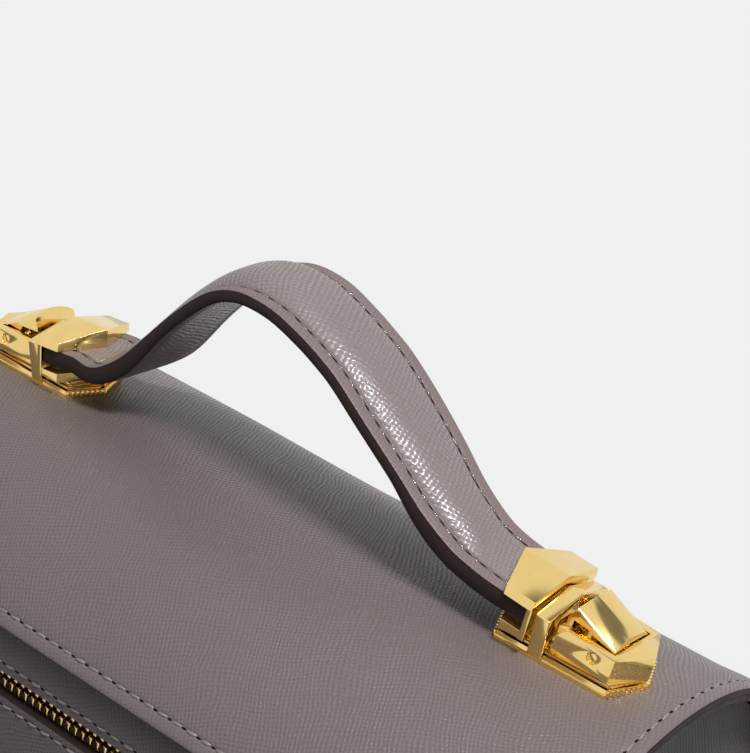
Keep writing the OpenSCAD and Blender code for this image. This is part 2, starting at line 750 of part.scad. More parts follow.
// Catch box: two leaning side walls and a pointed nose round the lever's recess
box_x0 = -6.1;
box_x1 = 7.1;
box_point = 4.2;
box_top_z = 8.3;
box_foot_w = 17.4;
recess_x1 = 5.9;
pin_x = 2.5;
pin_z = 6.2;
box_z0 = box_seat_z + glue_gap;
sink_r = 1.3;
sink_t = 0.3;
module catch_box(s) {
  w = box_w / 2;
  color([0.88, 0.72, 0.38]) at_side(s) difference() {
    tilted() difference() {
      intersection() {
        between(box_x0, box_x1 + box_point)
          polygon([[-box_foot_w / 2, box_z0], [-w, box_top_z], [w, box_top_z], [box_foot_w / 2, box_z0]]);
        linear_extrude(box_top_z + cut)
          polygon([[box_x0, -box_foot_w], [box_x1, -box_foot_w], [box_x1, -w], [box_x1 + box_point, 0],
            [box_x1, w], [box_x1, box_foot_w], [box_x0, box_foot_w]]);
      }
      translate([box_x0 - cut, -w + box_wall, 0])
        cube([recess_x1 - box_x0 + cut, 2 * (w - box_wall), far]);
      translate([pin_x, box_w, pin_z]) rotate([90, 0, 0]) cylinder(d = pin_d + 2 * glue_gap, h = 2 * box_w);
      for (e = [-1, 1]) translate([pin_x, e * (w - sink_t + box_w / 2), pin_z]) rotate([90, 0, 0])
        cylinder(r = sink_r, h = box_w, center = true);
    }
    screw_holes(screw_r);
  }
}

// Catch lever: a crowned bar that rocks on the pin, its handle end standing proud
lever_w = 11.8;
lever_crown = 1.7;
hub_r = 1.8;
lever_slot = 4.6;
lever_top = 4.75;
lever_tilt = 21.6;
// Corners of its side view, from the lifted end's lip round over the top to the arm's underside
lip_x = -5.6;
lip_z = 9.55;
nose_x = -5.2;
nose_z = 11.2;
brow_x = -3.9;
brow_z = 12.4;
tail_x = 5.3;
tail_z = 8.8;
heel_x = 5.6;
heel_z = 8.2;
toe_x = 4.9;
toe_z = 6.4;
knee_x = 0.2;
knee_z = 8.6;
arm_x = -0.4;
arm_z = 9.5;
slot_room = 3.2;
slot_floor = 3;
slot_room_h = 5;
module lever_side_2d() {
  polygon([[lip_x, lip_z], [nose_x, nose_z], [brow_x, brow_z + lever_crown], [tail_x, tail_z + lever_crown],
    [heel_x, heel_z], [toe_x, toe_z], [pin_x + hub_r / 2, pin_z], [pin_x - hub_r / 2, pin_z],
    [knee_x, knee_z], [arm_x, arm_z]]);
}
module catch_lever(s) {
  half = lever_w / 2;
  crown_r = (half * half + lever_crown * lever_crown) / (2 * lever_crown);
  color([0.9, 0.75, 0.42]) at_side(s) tilted() difference() {
    union() {
      intersection() {
        along(lever_w) lever_side_2d();
        translate([pin_x, 0, pin_z]) rotate([0, lever_tilt, 0]) translate([0, 0, lever_top - crown_r])
          rotate([0, 90, 0]) translate([0, 0, -lever_w]) cylinder(r = crown_r, h = 2 * lever_w);
      }
      translate([pin_x, half, pin_z]) rotate([90, 0, 0]) cylinder(r = hub_r, h = lever_w);
    }
    translate([pin_x, lever_w, pin_z]) rotate([90, 0, 0]) cylinder(r = pin_d / 2 + run_gap, h = 2 * lever_w);
    translate([pin_x - slot_room, -lever_slot / 2, pin_z - slot_floor])
      cube([2 * slot_room, lever_slot, slot_room_h]);
  }
}
pin_proud = 0.15;
module pivot_pin(s) {
  half = box_w / 2 - sink_t + pin_proud;
  color([0.8, 0.64, 0.3]) at_side(s) tilted() translate([pin_x, half, pin_z])
    rotate([90, 0, 0]) cylinder(d = pin_d, h = 2 * half);
}
// Torsion spring round the pin, in the slot under the lever
spring_in_r = 1.05;
spring_out_r = 1.55;
spring_w = 3.6;
spring_leg = 6.5;
wire = 0.5;
module catch_spring(s) {
  color([0.7, 0.7, 0.72]) at_side(s) tilted() translate([pin_x, 0, pin_z]) difference() {
    union() {
      rotate([90, 0, 0]) translate([0, 0, -spring_w / 2]) cylinder(r = spring_out_r, h = spring_w);
      translate([-spring_leg, spring_w / 2 - wire, -spring_out_r]) cube([spring_leg, wire, wire]);
    }
    rotate([90, 0, 0]) translate([0, 0, -spring_w]) cylinder(r = spring_in_r, h = 2 * spring_w);
  }
}

// Backing plate inside the flap, and the screws that draw the fitting down on to it
backing_t = 1;
screw_r = 1.25;
head_r = 2.1;
head_t = 0.75;
shank_gap = 0.02;
shank_end_gap = 0.2;
backing_over = 3;
backing_inset = 1;
module backing_block(gap, r) {
  x0 = fitting_x + plate_in_x - gap;
  x1 = fitting_x + plate_out_x + backing_over + gap;
  y1 = plate_w / 2 - backing_inset + gap;
  intersection() {
    translate([x0, -y1, arc_z]) cube([x1 - x0, 2 * y1, flap_r]);
    across(far) difference() {
      translate([0, arc_z]) circle(r - skin_t - glue_gap);
      translate([0, arc_z]) circle(flap_r - skin_t - backing_t - glue_gap - gap / 2);
    }
  }
}
module backing_plate(s) {
  color([0.7, 0.7, 0.72]) at_side(s) difference() {
    backing_block(0, flap_r);
    screw_holes(hole_r);
  }
}
// How far the backing plate's underside has fallen away at y from the middle
function head_z(y) = sqrt(pow(flap_r - skin_t - backing_t - 2 * glue_gap, 2) - y * y) - flap_r;
clamp_head_z = head_z(clamp_screw_y + head_r);
nose_head_z = head_z(head_r);
module screw_heads(r, down, up) {
  upright() {
    for (s = [-1, 1]) translate([clamp_screw_x, s * clamp_screw_y, clamp_head_z - down])
      cylinder(r = r, h = down + up);
    translate([nose_screw_x, 0, nose_head_z - down]) cylinder(r = r, h = down + up);
  }
}
module fixing_screws(s) {
  r = screw_r - shank_gap;
  color([0.75, 0.75, 0.77]) at_side(s) {
    screw_heads(head_r, head_t, 0);
    upright() {
      for (e = [-1, 1]) translate([clamp_screw_x, e * clamp_screw_y, clamp_head_z - head_t / 2])
        cylinder(r = r, h = clamp_top_z - flap_t - shank_end_gap - clamp_head_z + head_t / 2);
      translate([nose_screw_x, 0, nose_head_z - head_t / 2])
        cylinder(r = r, h = nose_top_z - flap_t - shank_end_gap - nose_head_z + head_t / 2);
    }
  }
}

front_panel();
back_panel();
gusset(-1);  // gusset_left
gusset(1);  // gusset_right
base_panel();
base_board();
body_lining();
slip_pocket();
zip_pouch();
zip_tapes();
zip_teeth();
zip_stops();
snap_sockets();
zip_slider();
zip_pull();
flap_leather();
flap_board();
flap_lining();
snap_studs();
handle_upper();
handle_core();
handle_lower();
base_plate(-1);  // base_plate_left
base_plate(1);  // base_plate_right
backing_plate(-1);  // backing_plate_left
backing_plate(1);  // backing_plate_right
strap_clamp(-1);  // strap_clamp_left
strap_clamp(1);  // strap_clamp_right
collar(-1);  // collar_left
collar(1);  // collar_right
catch_box(-1);  // catch_box_left
catch_box(1);  // catch_box_right
catch_lever(-1);  // catch_lever_left
catch_lever(1);  // catch_lever_right
pivot_pin(-1);  // pivot_pin_left
pivot_pin(1);  // pivot_pin_right
catch_spring(-1);  // catch_spring_left
catch_spring(1);  // catch_spring_right
fixing_screws(-1);  // fixing_screws_left
fixing_screws(1);  // fixing_screws_right
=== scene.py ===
import math
import random

import bmesh
import bpy
from mathutils import Matrix, Vector, noise


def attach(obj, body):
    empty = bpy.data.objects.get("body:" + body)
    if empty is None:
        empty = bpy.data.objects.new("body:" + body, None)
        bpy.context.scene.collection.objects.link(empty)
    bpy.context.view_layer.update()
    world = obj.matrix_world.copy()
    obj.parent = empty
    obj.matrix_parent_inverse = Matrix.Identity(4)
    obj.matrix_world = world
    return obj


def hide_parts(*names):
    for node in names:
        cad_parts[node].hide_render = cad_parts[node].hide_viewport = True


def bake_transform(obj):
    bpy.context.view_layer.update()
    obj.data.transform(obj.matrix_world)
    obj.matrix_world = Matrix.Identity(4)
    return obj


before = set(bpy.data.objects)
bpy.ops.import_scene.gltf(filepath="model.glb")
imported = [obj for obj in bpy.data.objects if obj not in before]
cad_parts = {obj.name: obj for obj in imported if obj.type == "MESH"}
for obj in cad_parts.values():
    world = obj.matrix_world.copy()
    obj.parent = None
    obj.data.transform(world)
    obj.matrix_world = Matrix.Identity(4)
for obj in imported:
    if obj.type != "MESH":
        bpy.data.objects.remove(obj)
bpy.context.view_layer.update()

# Square flap handbag. Lengths are in metres, in the frame of the solids: +X to the right of the
# zipped front, +Y to the back, +Z up, with the ground at zero.

# Body and flap, as in the part's source
BODY_HALF_W = 0.099
FLAP_HALF_W = 0.102
HALF_D = 0.0525
CLEARANCE = 0.0001
CROWN_Z = 0.200
FLAP_R = 0.070
ARC_Z = CROWN_Z - FLAP_R
FLAP_T = 0.0034
SKIN_T = 0.0014
LAYER_GAP = 0.00008
FOLD_R = 0.018
PANEL_T = 0.0026
INNER_HALF_D = HALF_D - PANEL_T
PANEL_R = 0.065
BEND_R = 0.012
CORNER_R = 0.009
FRONT_ANGLE = -51.6
MOUTH_ANGLE = -34.0
SIDE_INSET = 0.002
BASE_T = 0.0024
LINING_T = 0.0009
FRONT_SPRING = ARC_Z + math.sqrt((PANEL_R - BEND_R) ** 2 - (HALF_D - BEND_R) ** 2)
ZIP_Z = FRONT_SPRING - 0.0060
SLOT_HALF = 0.082
SLOT_R = 0.003
SLOT_REACH = 0.009
PULL_FAR = 0.0965
POUCH_ROOM = 0.0044
POUCH_HALF_W = 0.085
POUCH_H = 0.118
POCKET_HALF_W = 0.065
POCKET_LOW = 0.050
POCKET_HIGH = 0.145
BOARD_ROOM = 0.0022
LINING_GAP = 0.0003
LIP_GAP = 0.0006
TAPE_NEAR = 0.0018
TAPE_FAR = 0.0064
TAPE_END = 0.005
TAPE_T = 0.0005
POUCH_GAP = 0.0008
POUCH_TOP = ZIP_Z + 0.0044
POUCH_CLOTH_T = 0.0004
FITTING_X = 0.075
SNAP_X = 0.050
SNAP_ANGLE = math.radians(-43)
SOCKET_R = 0.0085
SCREW_HEAD_R = 0.0021
SCREW_HEADS = [(0.0648, 0.005), (0.0648, -0.005), (0.0884, 0.0)]

# Soft forms that the solids leave out, and how far a sheet's face lies inside its solid's
FACE_INSET = 0.0003
ROLL_DEPTH = 0.0003
GROOVE_DEPTH = 0.00022
SEAM_SWELL = 0.00025
SEAT_DEPTH = 0.00025
SLOT_GROOVE_DEPTH = 0.00016
CROWN_SAG = 0.0009
CROWN_PROUD = 0.0006
BACK_SWELL = 0.0009
FRONT_SWELL = 0.0008
SIDE_FOLD = 0.0026
PULL_REST = 0.0005
SOCKET_HOLLOW = 0.0008
SOCKET_HOLLOW_WALL = 0.0011
SCREW_HOLLOW = 0.00045
SCREW_HOLLOW_WALL = 0.0006
POCKET_GAPE = 0.0014
POUCH_SWELL = 0.0026
STRAP_LEAN = 0.0010
STRAP_ROLL_DEPTH = 0.00028
STRAP_GROOVE_DEPTH = 0.00034
EDGE_BULGE = 0.00035
LINING_TUCK = 0.0012
TAPE_CORD = 0.00015

# Soft uneven swells: their size across, their height and their place in the noise
FLAP_BROAD = (0.045, 0.00045, 3.1)
FLAP_NARROW = (0.018, 0.00012, 8.7)
FRONT_UNEVEN = (0.05, 0.0004, 5.5)
SIDE_UNEVEN = (0.04, 0.0005, 2.2)
LINING_UNEVEN = (0.03, 0.0005, 1.7)
POUCH_UNEVEN = (0.02, 0.0003, 4.4)

# Half sizes of the place where the hide is flat under a fitting, and, in shares of the flap's
# half width, where its crown's sag ends and its ends begin to stand proud
FITTING_REACH_X = 0.022
FITTING_REACH_Y = 0.014
SAG_END = 0.62
PROUD_BEGIN = 0.86

# Sewing
STITCH_PITCH = 0.00395
STITCH_INSET = 0.0030
STITCH_GAP = 0.0012
THREAD_R = 0.00037
ROW_STEPS = 300
SHORT_ROW_STEPS = 200
ZIP_ROW_GAP = 0.0050
GROOVE_W = 0.00045
# Band of the handle's stitched groove, measured from its edge, which is painted dark as painted
# shade
STRAP_SEAM_SHADE_BAND = (0.00275, 0.00345)

# Rows and columns of the sheets' faces: the band along an edge, and the steps elsewhere
EDGE_BAND = 0.009
COARSE_STEP = 0.006
MIDDLE_STEP = 0.003
PRESSED_STEP = 0.0006
FINE_STEP = 0.0004
HINGE_STEP = 0.0013
HINGE_ROWS = 16

# How far the close rows and columns reach round what is pressed in
SCREW_COLUMNS_REACH = 0.0032
SCREW_ROWS_REACH = 0.0084
SOCKET_COLUMNS_REACH = 0.0102
SOCKET_ROWS_REACH = 0.0096

# Strap, as in the part's source
STRAP_HALF = 0.0684
STRAP_RISE = 0.0356
STRAP_FOOT_Z = CROWN_Z + 0.0106
STRAP_MID_W = 0.0246
STRAP_END_W = 0.0204
STRAP_MID_T = 0.0031
STRAP_END_T = 0.0044
STRAP_MARGIN = 0.0037
PAD_RISE = 0.0023

# Where the strap narrows, where it thickens and where its padding ends: a share of its half
# length and how much further on this is done
STRAP_NARROWS = (0.3, 0.5)
STRAP_THICKENS = (0.48, 0.2)
PAD_ENDS = (0.66, 0.18)

# Line of the strap: shares of its half length and of its rise
STRAP_SHARES = [(-1, 0), (-0.928, 0.014), (-0.857, 0.027), (-0.795, 0.017), (-0.731, 0.072),
                (-0.64, 0.217), (-0.529, 0.459), (-0.421, 0.691), (-0.316, 0.879), (-0.234, 0.966),
                (-0.149, 1), (-0.034, 0.983), (0.086, 0.91), (0.178, 0.832), (0.25, 0.753),
                (0.379, 0.571), (0.493, 0.4), (0.602, 0.228), (0.708, 0.104), (0.782, 0.056),
                (0.857, 0.028), (0.928, 0.014), (1, 0)]

MM = 0.001
rng = random.Random(5)


def smooth(u):
    """Eases from 0 to 1 while u goes from 0 to 1, and holds outside."""
    u = min(1.0, max(0.0, u))
    return u * u * (3 - 2 * u)


def eased(value, begin, width):
    """Eases from 0 at begin to 1 a width further on."""
    return smooth((value - begin) / width)


def mix(a, b, share):
    """Value at a share of the way from a to b."""
    return a + (b - a) * share


def round_stretch(y, z, radius, first, last):
    """Arc about (y, z): its length, and what gives place and normal at a share of it. Angles are
    in degrees from straight up, positive to the back."""

    def at(share):
        a = math.radians(mix(first, last, share))
        n = Vector((math.sin(a), math.cos(a)))
        return Vector((y, z)) + n * radius, n

    return radius * math.radians(abs(last - first)), at


def straight_stretch(p, q, normal):
    """Straight line from p to q, in the form of round_stretch."""

    def at(share):
        return Vector(p).lerp(Vector(q), share), Vector(normal)

    return (Vector(p) - Vector(q)).length, at


# Materials

# Grain: its cell in metres, and in cells how its rows run, and how often and how far they wander
GRAIN_CELL = 0.00092
GRAIN_ROWS = ((0.88, 0.47), (-0.47, 0.88))
GRAIN_WANDER = ((0.05, 5.0), (0.6, 0.45))
CELL_TURN = math.radians(-28)
CELL_STRETCH = (0.8, 1.25, 1.0)
CELL_SHARE = 0.3
CREASE_ROUGH = 0.6
GRAIN_RELIEF = 0.8

# First colour socket of a Mix node
COLOUR_SOCKET = 6


def node_group(name, inputs, outputs):
    """An empty group with its sockets: inputs as (name, kind, start value), outputs as (name,
    kind). Gives the nodes of both ends too."""
    group = bpy.data.node_groups.new(name, "ShaderNodeTree")
    for label, kind, start in inputs:
        socket = group.interface.new_socket(label, in_out="INPUT", socket_type=kind)
        if start is not None:
            socket.default_value = start
    for label, kind in outputs:
        group.interface.new_socket(label, in_out="OUTPUT", socket_type=kind)
    return group, group.nodes.new("NodeGroupInput"), group.nodes.new("NodeGroupOutput")


class Tree:
    """Short calls for adding nodes to one tree."""

    def __init__(self, tree):
        self.tree = tree

    def put(self, socket, value):
        """Links the value to the socket if it is one too, or else sets it."""
        if isinstance(value, bpy.types.NodeSocket):
            self.tree.links.new(value, socket)
        elif value is not None:
            socket.default_value = value

    def fill(self, made, values, first=0):
        """Puts the values in the node's sockets, in their order."""
        for socket, value in zip(made.inputs[first:], values):
            self.put(socket, value)
        return made

    def node(self, kind, **settings):
        """A new node with its settings."""
        made = self.tree.nodes.new(kind)
        for key, value in settings.items():
            setattr(made, key, value)
        return made

    def math(self, operation, a, b=None, c=None):
        """Result of an operation on numbers."""
        made = self.node("ShaderNodeMath", operation=operation)
        return self.fill(made, (a, b, c)).outputs[0]

    def vector(self, operation, a, b=None, c=None):
        """Result of an operation on vectors."""
        made = self.node("ShaderNodeVectorMath", operation=operation)
        number = operation in ("LENGTH", "DOT_PRODUCT")
        return self.fill(made, (a, b, c)).outputs["Value" if number else "Vector"]

    def scaled(self, vector, factor):
        """The vector times a number."""
        made = self.node("ShaderNodeVectorMath", operation="SCALE")
        self.put(made.inputs["Scale"], factor)
        return self.fill(made, (vector,)).outputs["Vector"]

    def split(self, vector):
        """The vector's three parts."""
        return self.fill(self.node("ShaderNodeSeparateXYZ"), (vector,)).outputs

    def ramp(self, value, low, high, to_low=0.0, to_high=1.0):
        """Goes smoothly from to_low to to_high while the value goes from low to high."""
        made = self.node("ShaderNodeMapRange", interpolation_type="SMOOTHSTEP")
        return self.fill(made, (value, low, high, to_low, to_high)).outputs[0]

    def noise(self, vector, scale, detail=2.0, rough=0.5, output="Fac"):
        """Soft noise at the vector."""
        made = self.node("ShaderNodeTexNoise")
        self.put(made.inputs["Vector"], vector)
        made.inputs["Scale"].default_value = scale
        made.inputs["Detail"].default_value = detail
        made.inputs["Roughness"].default_value = rough
        return made.outputs[output]

    def colour(self, share, a, b):
        """Blend of two colours, each a socket or its red, green and blue."""
        made = self.node("ShaderNodeMix", data_type="RGBA")
        self.put(made.inputs[0], share)
        ends = [(*end, 1.0) if isinstance(end, tuple) else end for end in (a, b)]
        return self.fill(made, ends, COLOUR_SOCKET).outputs[2]

    def bump(self, height, distance, strength=1.0):
        """Normal of a surface with this height."""
        made = self.node("ShaderNodeBump")
        made.inputs["Strength"].default_value = strength
        made.inputs["Distance"].default_value = distance
        self.put(made.inputs["Height"], height)
        return made.outputs[0]

    def group(self, group, **values):
        """Outputs of a shared group, with its inputs set by name."""
        made = self.node("ShaderNodeGroup", node_tree=group)
        for key, value in values.items():
            self.put(made.inputs[key], value)
        return made.outputs

    def surface_map(self):
        """Place on the piece's own map, in metres of hide."""
        return self.node("ShaderNodeUVMap", uv_map="hide").outputs["UV"]

    def object_point(self):
        """Place in the object's own space."""
        return self.node("ShaderNodeTexCoord").outputs["Object"]


def make_cross_grain():
    """Cross-grained leather: two crossing sets of wavy rounded rows, broken up by uneven cells.
    The map's unit is one metre of hide; Height is in metres, and Shade is 0 in the creases and
    1 on the tops."""
    group, start, end = node_group(
        "cross_grain",
        [("Map", "NodeSocketVector", None), ("Cell", "NodeSocketFloat", GRAIN_CELL),
         ("Depth", "NodeSocketFloat", 0.00010)],
        [("Height", "NodeSocketFloat"), ("Shade", "NodeSocketFloat")])
    t = Tree(group)
    hide = t.scaled(start.outputs["Map"], t.math("DIVIDE", 1.0, start.outputs["Cell"]))
    for scale, reach in GRAIN_WANDER:
        drift = t.noise(hide, scale, 1.0, output="Color")
        hide = t.vector("MULTIPLY_ADD", drift, (reach, reach, 0.0), hide)
    turned = t.node("ShaderNodeVectorRotate", rotation_type="Z_AXIS")
    t.put(turned.inputs["Vector"], hide)
    turned.inputs["Angle"].default_value = CELL_TURN
    cells = t.node("ShaderNodeTexVoronoi", feature="DISTANCE_TO_EDGE", voronoi_dimensions="2D")
    t.put(cells.inputs["Vector"], t.vector("MULTIPLY", turned.outputs[0], CELL_STRETCH))
    cells.inputs["Scale"].default_value = 1.0
    cells.inputs["Randomness"].default_value = 0.72
    rounded = t.ramp(cells.outputs["Distance"], 0.0, 0.42)
    place = t.split(hide)
    rows = []
    for across, along in GRAIN_ROWS:
        phase = t.math("ADD", t.math("MULTIPLY", place[0], across * math.tau),
                       t.math("MULTIPLY", place[1], along * math.tau))
        rows.append(t.math("MULTIPLY_ADD", t.math("SINE", phase), 0.5, 0.5))
    crossed = t.math("MULTIPLY_ADD", rows[0], 0.55, t.math("MULTIPLY", rows[1], 0.45))
    relief = t.math("ADD", t.math("MULTIPLY", rounded, CELL_SHARE),
                    t.math("MULTIPLY", crossed, 1 - CELL_SHARE))
    t.put(end.inputs["Height"], t.math("MULTIPLY", relief, start.outputs["Depth"]))
    t.put(end.inputs["Shade"], relief)
    return group


def make_handling_wear():
    """Large soft changes of tone and gloss where a hide has been handled."""
    group, start, end = node_group(
        "handling_wear",
        [("Map", "NodeSocketVector", None), ("Patch", "NodeSocketFloat", 0.045)],
        [("Tone", "NodeSocketFloat"), ("Gloss", "NodeSocketFloat")])
    t = Tree(group)
    place = t.scaled(start.outputs["Map"], t.math("DIVIDE", 1.0, start.outputs["Patch"]))
    t.put(end.inputs["Tone"], t.noise(place, 1.0, 3.0, 0.55))
    t.put(end.inputs["Gloss"], t.noise(place, 2.7, 4.0, 0.6))
    return group


def make_fine_scratches():
    """Hairline scratches and a faint orange peel for plated metal."""
    group, start, end = node_group(
        "fine_scratches",
        [("Point", "NodeSocketVector", None), ("Depth", "NodeSocketFloat", 0.0000007)],
        [("Height", "NodeSocketFloat"), ("Smear", "NodeSocketFloat")])
    t = Tree(group)
    stretch = t.node("ShaderNodeMapping")
    t.put(stretch.inputs["Vector"], start.outputs["Point"])
    stretch.inputs["Rotation"].default_value = (0.3, 0.8, 0.5)
    stretch.inputs["Scale"].default_value = (9000.0, 500.0, 500.0)
    hair = t.ramp(t.noise(stretch.outputs[0], 1.0, 2.0), 0.56, 0.68)
    peel = t.noise(start.outputs["Point"], 700.0, 1.0)
    height = t.math("ADD", t.math("MULTIPLY", hair, -0.5), peel)
    t.put(end.inputs["Height"], t.math("MULTIPLY", height, start.outputs["Depth"]))
    t.put(end.inputs["Smear"], t.noise(start.outputs["Point"], 260.0, 3.0))
    return group


CROSS_GRAIN = make_cross_grain()
HANDLING_WEAR = make_handling_wear()
FINE_SCRATCHES = make_fine_scratches()


def new_material(name):
    """A material, its node helper and its shader."""
    made = bpy.data.materials.new(name)
    made.use_nodes = True
    return made, Tree(made.node_tree), made.node_tree.nodes["Principled BSDF"]


def scored_leather(name, colour, dark, cell=GRAIN_CELL, depth=0.00012, rough=(0.30, 0.38),
                   crease_shade=0.38, wax=0.3, margin=None, crease=0.65):
    """Cross-grained hide with its tone between dark and colour. rough is that of the waxed tops,
    while the creases are dull; crease_shade is how much darker the creases are painted, as painted
    shade, and crease the Shade value at which the full tone is reached. margin is the half width of
    a hide whose rim outside the stitching is pressed nearly smooth."""
    made, t, skin = new_material(name)
    hide = t.surface_map()
    if margin:
        place = t.split(hide)
        across = t.math("SUBTRACT", margin, t.math("ABSOLUTE", place[0]))
        rim = t.math("MINIMUM", across, place[1])
        depth = t.ramp(rim, STITCH_INSET - 0.0002, STITCH_INSET + 0.0008, 0.25 * depth, depth)
    scored = t.group(CROSS_GRAIN, Map=hide, Cell=cell, Depth=depth)
    worn = t.group(HANDLING_WEAR, Map=hide)
    # Painted shade: the base colour in the creases is darkened by up to crease_shade.
    lit = t.ramp(scored["Shade"], 0.10, crease, 1.0 - crease_shade, 1.0)
    tone = t.math("MULTIPLY", lit, t.ramp(worn["Tone"], 0.2, 0.8, 0.88, 1.0))
    t.put(skin.inputs["Base Color"], t.colour(tone, dark, colour))
    tops = t.ramp(worn["Gloss"], 0.25, 0.75, *rough)
    t.put(skin.inputs["Roughness"], t.ramp(scored["Shade"], 0.18, 0.62, CREASE_ROUGH, tops))
    t.put(skin.inputs["Normal"], t.bump(scored["Height"], GRAIN_RELIEF))
    skin.inputs["Specular IOR Level"].default_value = wax
    return made


def plain_leather(name, colour, dark, scale=900.0, rough=(0.55, 0.7), depth=0.00003, gloss=0.5):
    """Smooth lining leather, painted edge or waxed thread, with a soft fine nap."""
    made, t, skin = new_material(name)
    point = t.object_point()
    nap = t.noise(point, scale, 4.0, 0.6)
    patch = t.math("MULTIPLY_ADD", t.noise(point, 60.0, 3.0), 0.5, 0.35)
    t.put(skin.inputs["Base Color"], t.colour(patch, dark, colour))
    t.put(skin.inputs["Roughness"], t.ramp(nap, 0.3, 0.7, *rough))
    t.put(skin.inputs["Normal"], t.bump(nap, depth))
    skin.inputs["Specular IOR Level"].default_value = gloss
    return made


def woven(name, colour, dark, thread=0.0006):
    """Plain weave of round threads, on the piece's own surface map."""
    made, t, skin = new_material(name)
    place = t.split(t.surface_map())
    turns = math.tau / (2 * thread)
    over = t.math("SINE", t.math("MULTIPLY", place[0], turns))
    under = t.math("SINE", t.math("MULTIPLY", place[1], turns))
    check = t.math("MULTIPLY_ADD", t.math("MULTIPLY", over, under), 0.5, 0.5)
    t.put(skin.inputs["Base Color"], t.colour(check, dark, colour))
    skin.inputs["Roughness"].default_value = 0.8
    t.put(skin.inputs["Normal"], t.bump(check, thread * 0.25))
    return made


def plated(name, colour, dark, rough):
    """Polished plate: metal with a slight smear and hairline scratches."""
    made, t, skin = new_material(name)
    marks = t.group(FINE_SCRATCHES, Point=t.object_point())
    smear = t.ramp(marks["Smear"], 0.3, 0.7)
    t.put(skin.inputs["Base Color"], t.colour(smear, dark, colour))
    t.put(skin.inputs["Roughness"], t.ramp(marks["Smear"], 0.3, 0.7, *rough))
    skin.inputs["Metallic"].default_value = 1.0
    t.put(skin.inputs["Normal"], t.bump(marks["Height"], 1.0, 0.6))
    return made


FLAP_HIDE = scored_leather("flap_hide", (0.186, 0.147, 0.146), (0.080, 0.060, 0.060),
                           depth=0.00015, rough=(0.26, 0.34), margin=FLAP_HALF_W, wax=0.6,
                           crease=0.75)
STRAP_HIDE = scored_leather("strap_hide", (0.285, 0.230, 0.230), (0.10, 0.078, 0.078),
                            cell=0.00104, depth=0.00013, rough=(0.22, 0.28), crease_shade=0.5,
                            wax=0.75, crease=0.9)
STRAP_MARGIN_HIDE = scored_leather("strap_margin_hide", (0.235, 0.186, 0.184), (0.12, 0.093, 0.092),
                                   depth=0.00005, rough=(0.4, 0.5), wax=0.25)
PANEL_HIDE = scored_leather("panel_hide", (0.17, 0.136, 0.134), (0.07, 0.055, 0.055), wax=0.35)
GUSSET_HIDE = scored_leather("gusset_hide", (0.12, 0.097, 0.097), (0.05, 0.04, 0.04),
                             rough=(0.42, 0.5), wax=0.2)
EDGE_PAINT = plain_leather("edge_paint", (0.038, 0.024, 0.022), (0.018, 0.011, 0.010), 300.0,
                           (0.5, 0.6), 0.00006, 0.15)
LINING_HIDE = plain_leather("lining_hide", (0.23, 0.19, 0.175), (0.16, 0.13, 0.12))
THREAD = plain_leather("sewing_thread", (0.27, 0.225, 0.222), (0.16, 0.13, 0.128), 3000.0,
                       (0.2, 0.32), 0.00012, 0.8)
STRAP_THREAD = plain_leather("strap_thread", (0.15, 0.122, 0.12), (0.07, 0.055, 0.054), 3000.0,
                             (0.10, 0.18), 0.00012, 1.0)
# Painted shade: a dark band along the handle's stitched groove, under its thread
STRAP_SEAM_SHADE = plain_leather("strap_seam_shade", (0.075, 0.057, 0.056), (0.045, 0.034, 0.033), 900.0,
                           (0.5, 0.6), gloss=0.2)
# Painted shade: near-black ovals stand for the shade inside the needle holes
NEEDLE_HOLE_SHADE = plain_leather("needle_hole_shade", (0.010, 0.007, 0.007), (0.006, 0.004, 0.004), 900.0,
                            (0.8, 0.9), gloss=0.1)
ZIP_CLOTH = woven("zip_cloth", (0.14, 0.118, 0.122), (0.05, 0.042, 0.044))
POUCH_CLOTH = woven("pouch_cloth", (0.2, 0.17, 0.165), (0.12, 0.1, 0.098), 0.0008)
GOLD = plated("gold_plate", (0.93, 0.69, 0.27), (0.90, 0.65, 0.235), (0.10, 0.15))
ZIP_GOLD = plated("zip_gold", (0.84, 0.62, 0.3), (0.74, 0.5, 0.2), (0.18, 0.3))
STEEL = plated("plain_steel", (0.62, 0.62, 0.64), (0.5, 0.5, 0.53), (0.25, 0.4))


# Lines and sheets

class Outline:
    """A line in the plane of depth and height, made of stretches; normals point out of the bag."""

    def __init__(self, *stretches):
        self.stretches = []
        self.length = 0.0
        for size, at in stretches:
            self.stretches.append((self.length, size, at))
            self.length += size

    def begin(self, index):
        """Run at which a stretch begins."""
        return self.stretches[index][0]

    def at(self, run):
        """Place and normal at a run along the line."""
        for begin, size, stretch in self.stretches:
            if run <= begin + size:
                break
        return stretch((run - begin) / size)


def inset_steps(first=0.0, dense=True):
    """Distances from an edge, close together at the rolled edge and round the stitched groove."""
    steps = [0, 0.2, 0.5, 0.9, 1.5, 2.1, 2.5, 2.75, 3.0, 3.25, 3.5, 3.9, 4.6, 5.6, 7.0, 9.0]
    if not dense:
        steps = [0, 0.3, 0.8, 1.6, 2.6, 3.0, 3.4, 4.4, 6.5, 9.0]
    return [first + v * MM for v in steps]


def even(a, b, count):
    """Values from a to b in a number of even steps."""
    return [mix(a, b, i / count) for i in range(count + 1)]


def between(a, b, step):
    """Even values after a and before b, about step apart."""
    n = max(1, round((b - a) / step))
    return [a + (b - a) * i / n for i in range(1, n)]


def span(a, b, step):
    """Values from a to b, with close ones at both ends, which are sewn edges."""
    low = inset_steps(a)
    high = [b - (v - a) for v in reversed(low)]
    return low + between(low[-1], high[0], step) + high


def with_dense(values, places, reach, step):
    """The values, with close even ones within reach of each place."""
    kept = [v for v in values if all(abs(v - p) > reach + step / 2 for p in places)]
    dense = [p - reach + i * step for p in places for i in range(round(2 * reach / step) + 1)]
    return sorted(kept + dense)


def hollow(distance, radius, deep, wall):
    """Depth of a round hollow with sloping walls at a distance from its middle."""
    return deep * (1 - smooth((distance - radius) / wall))


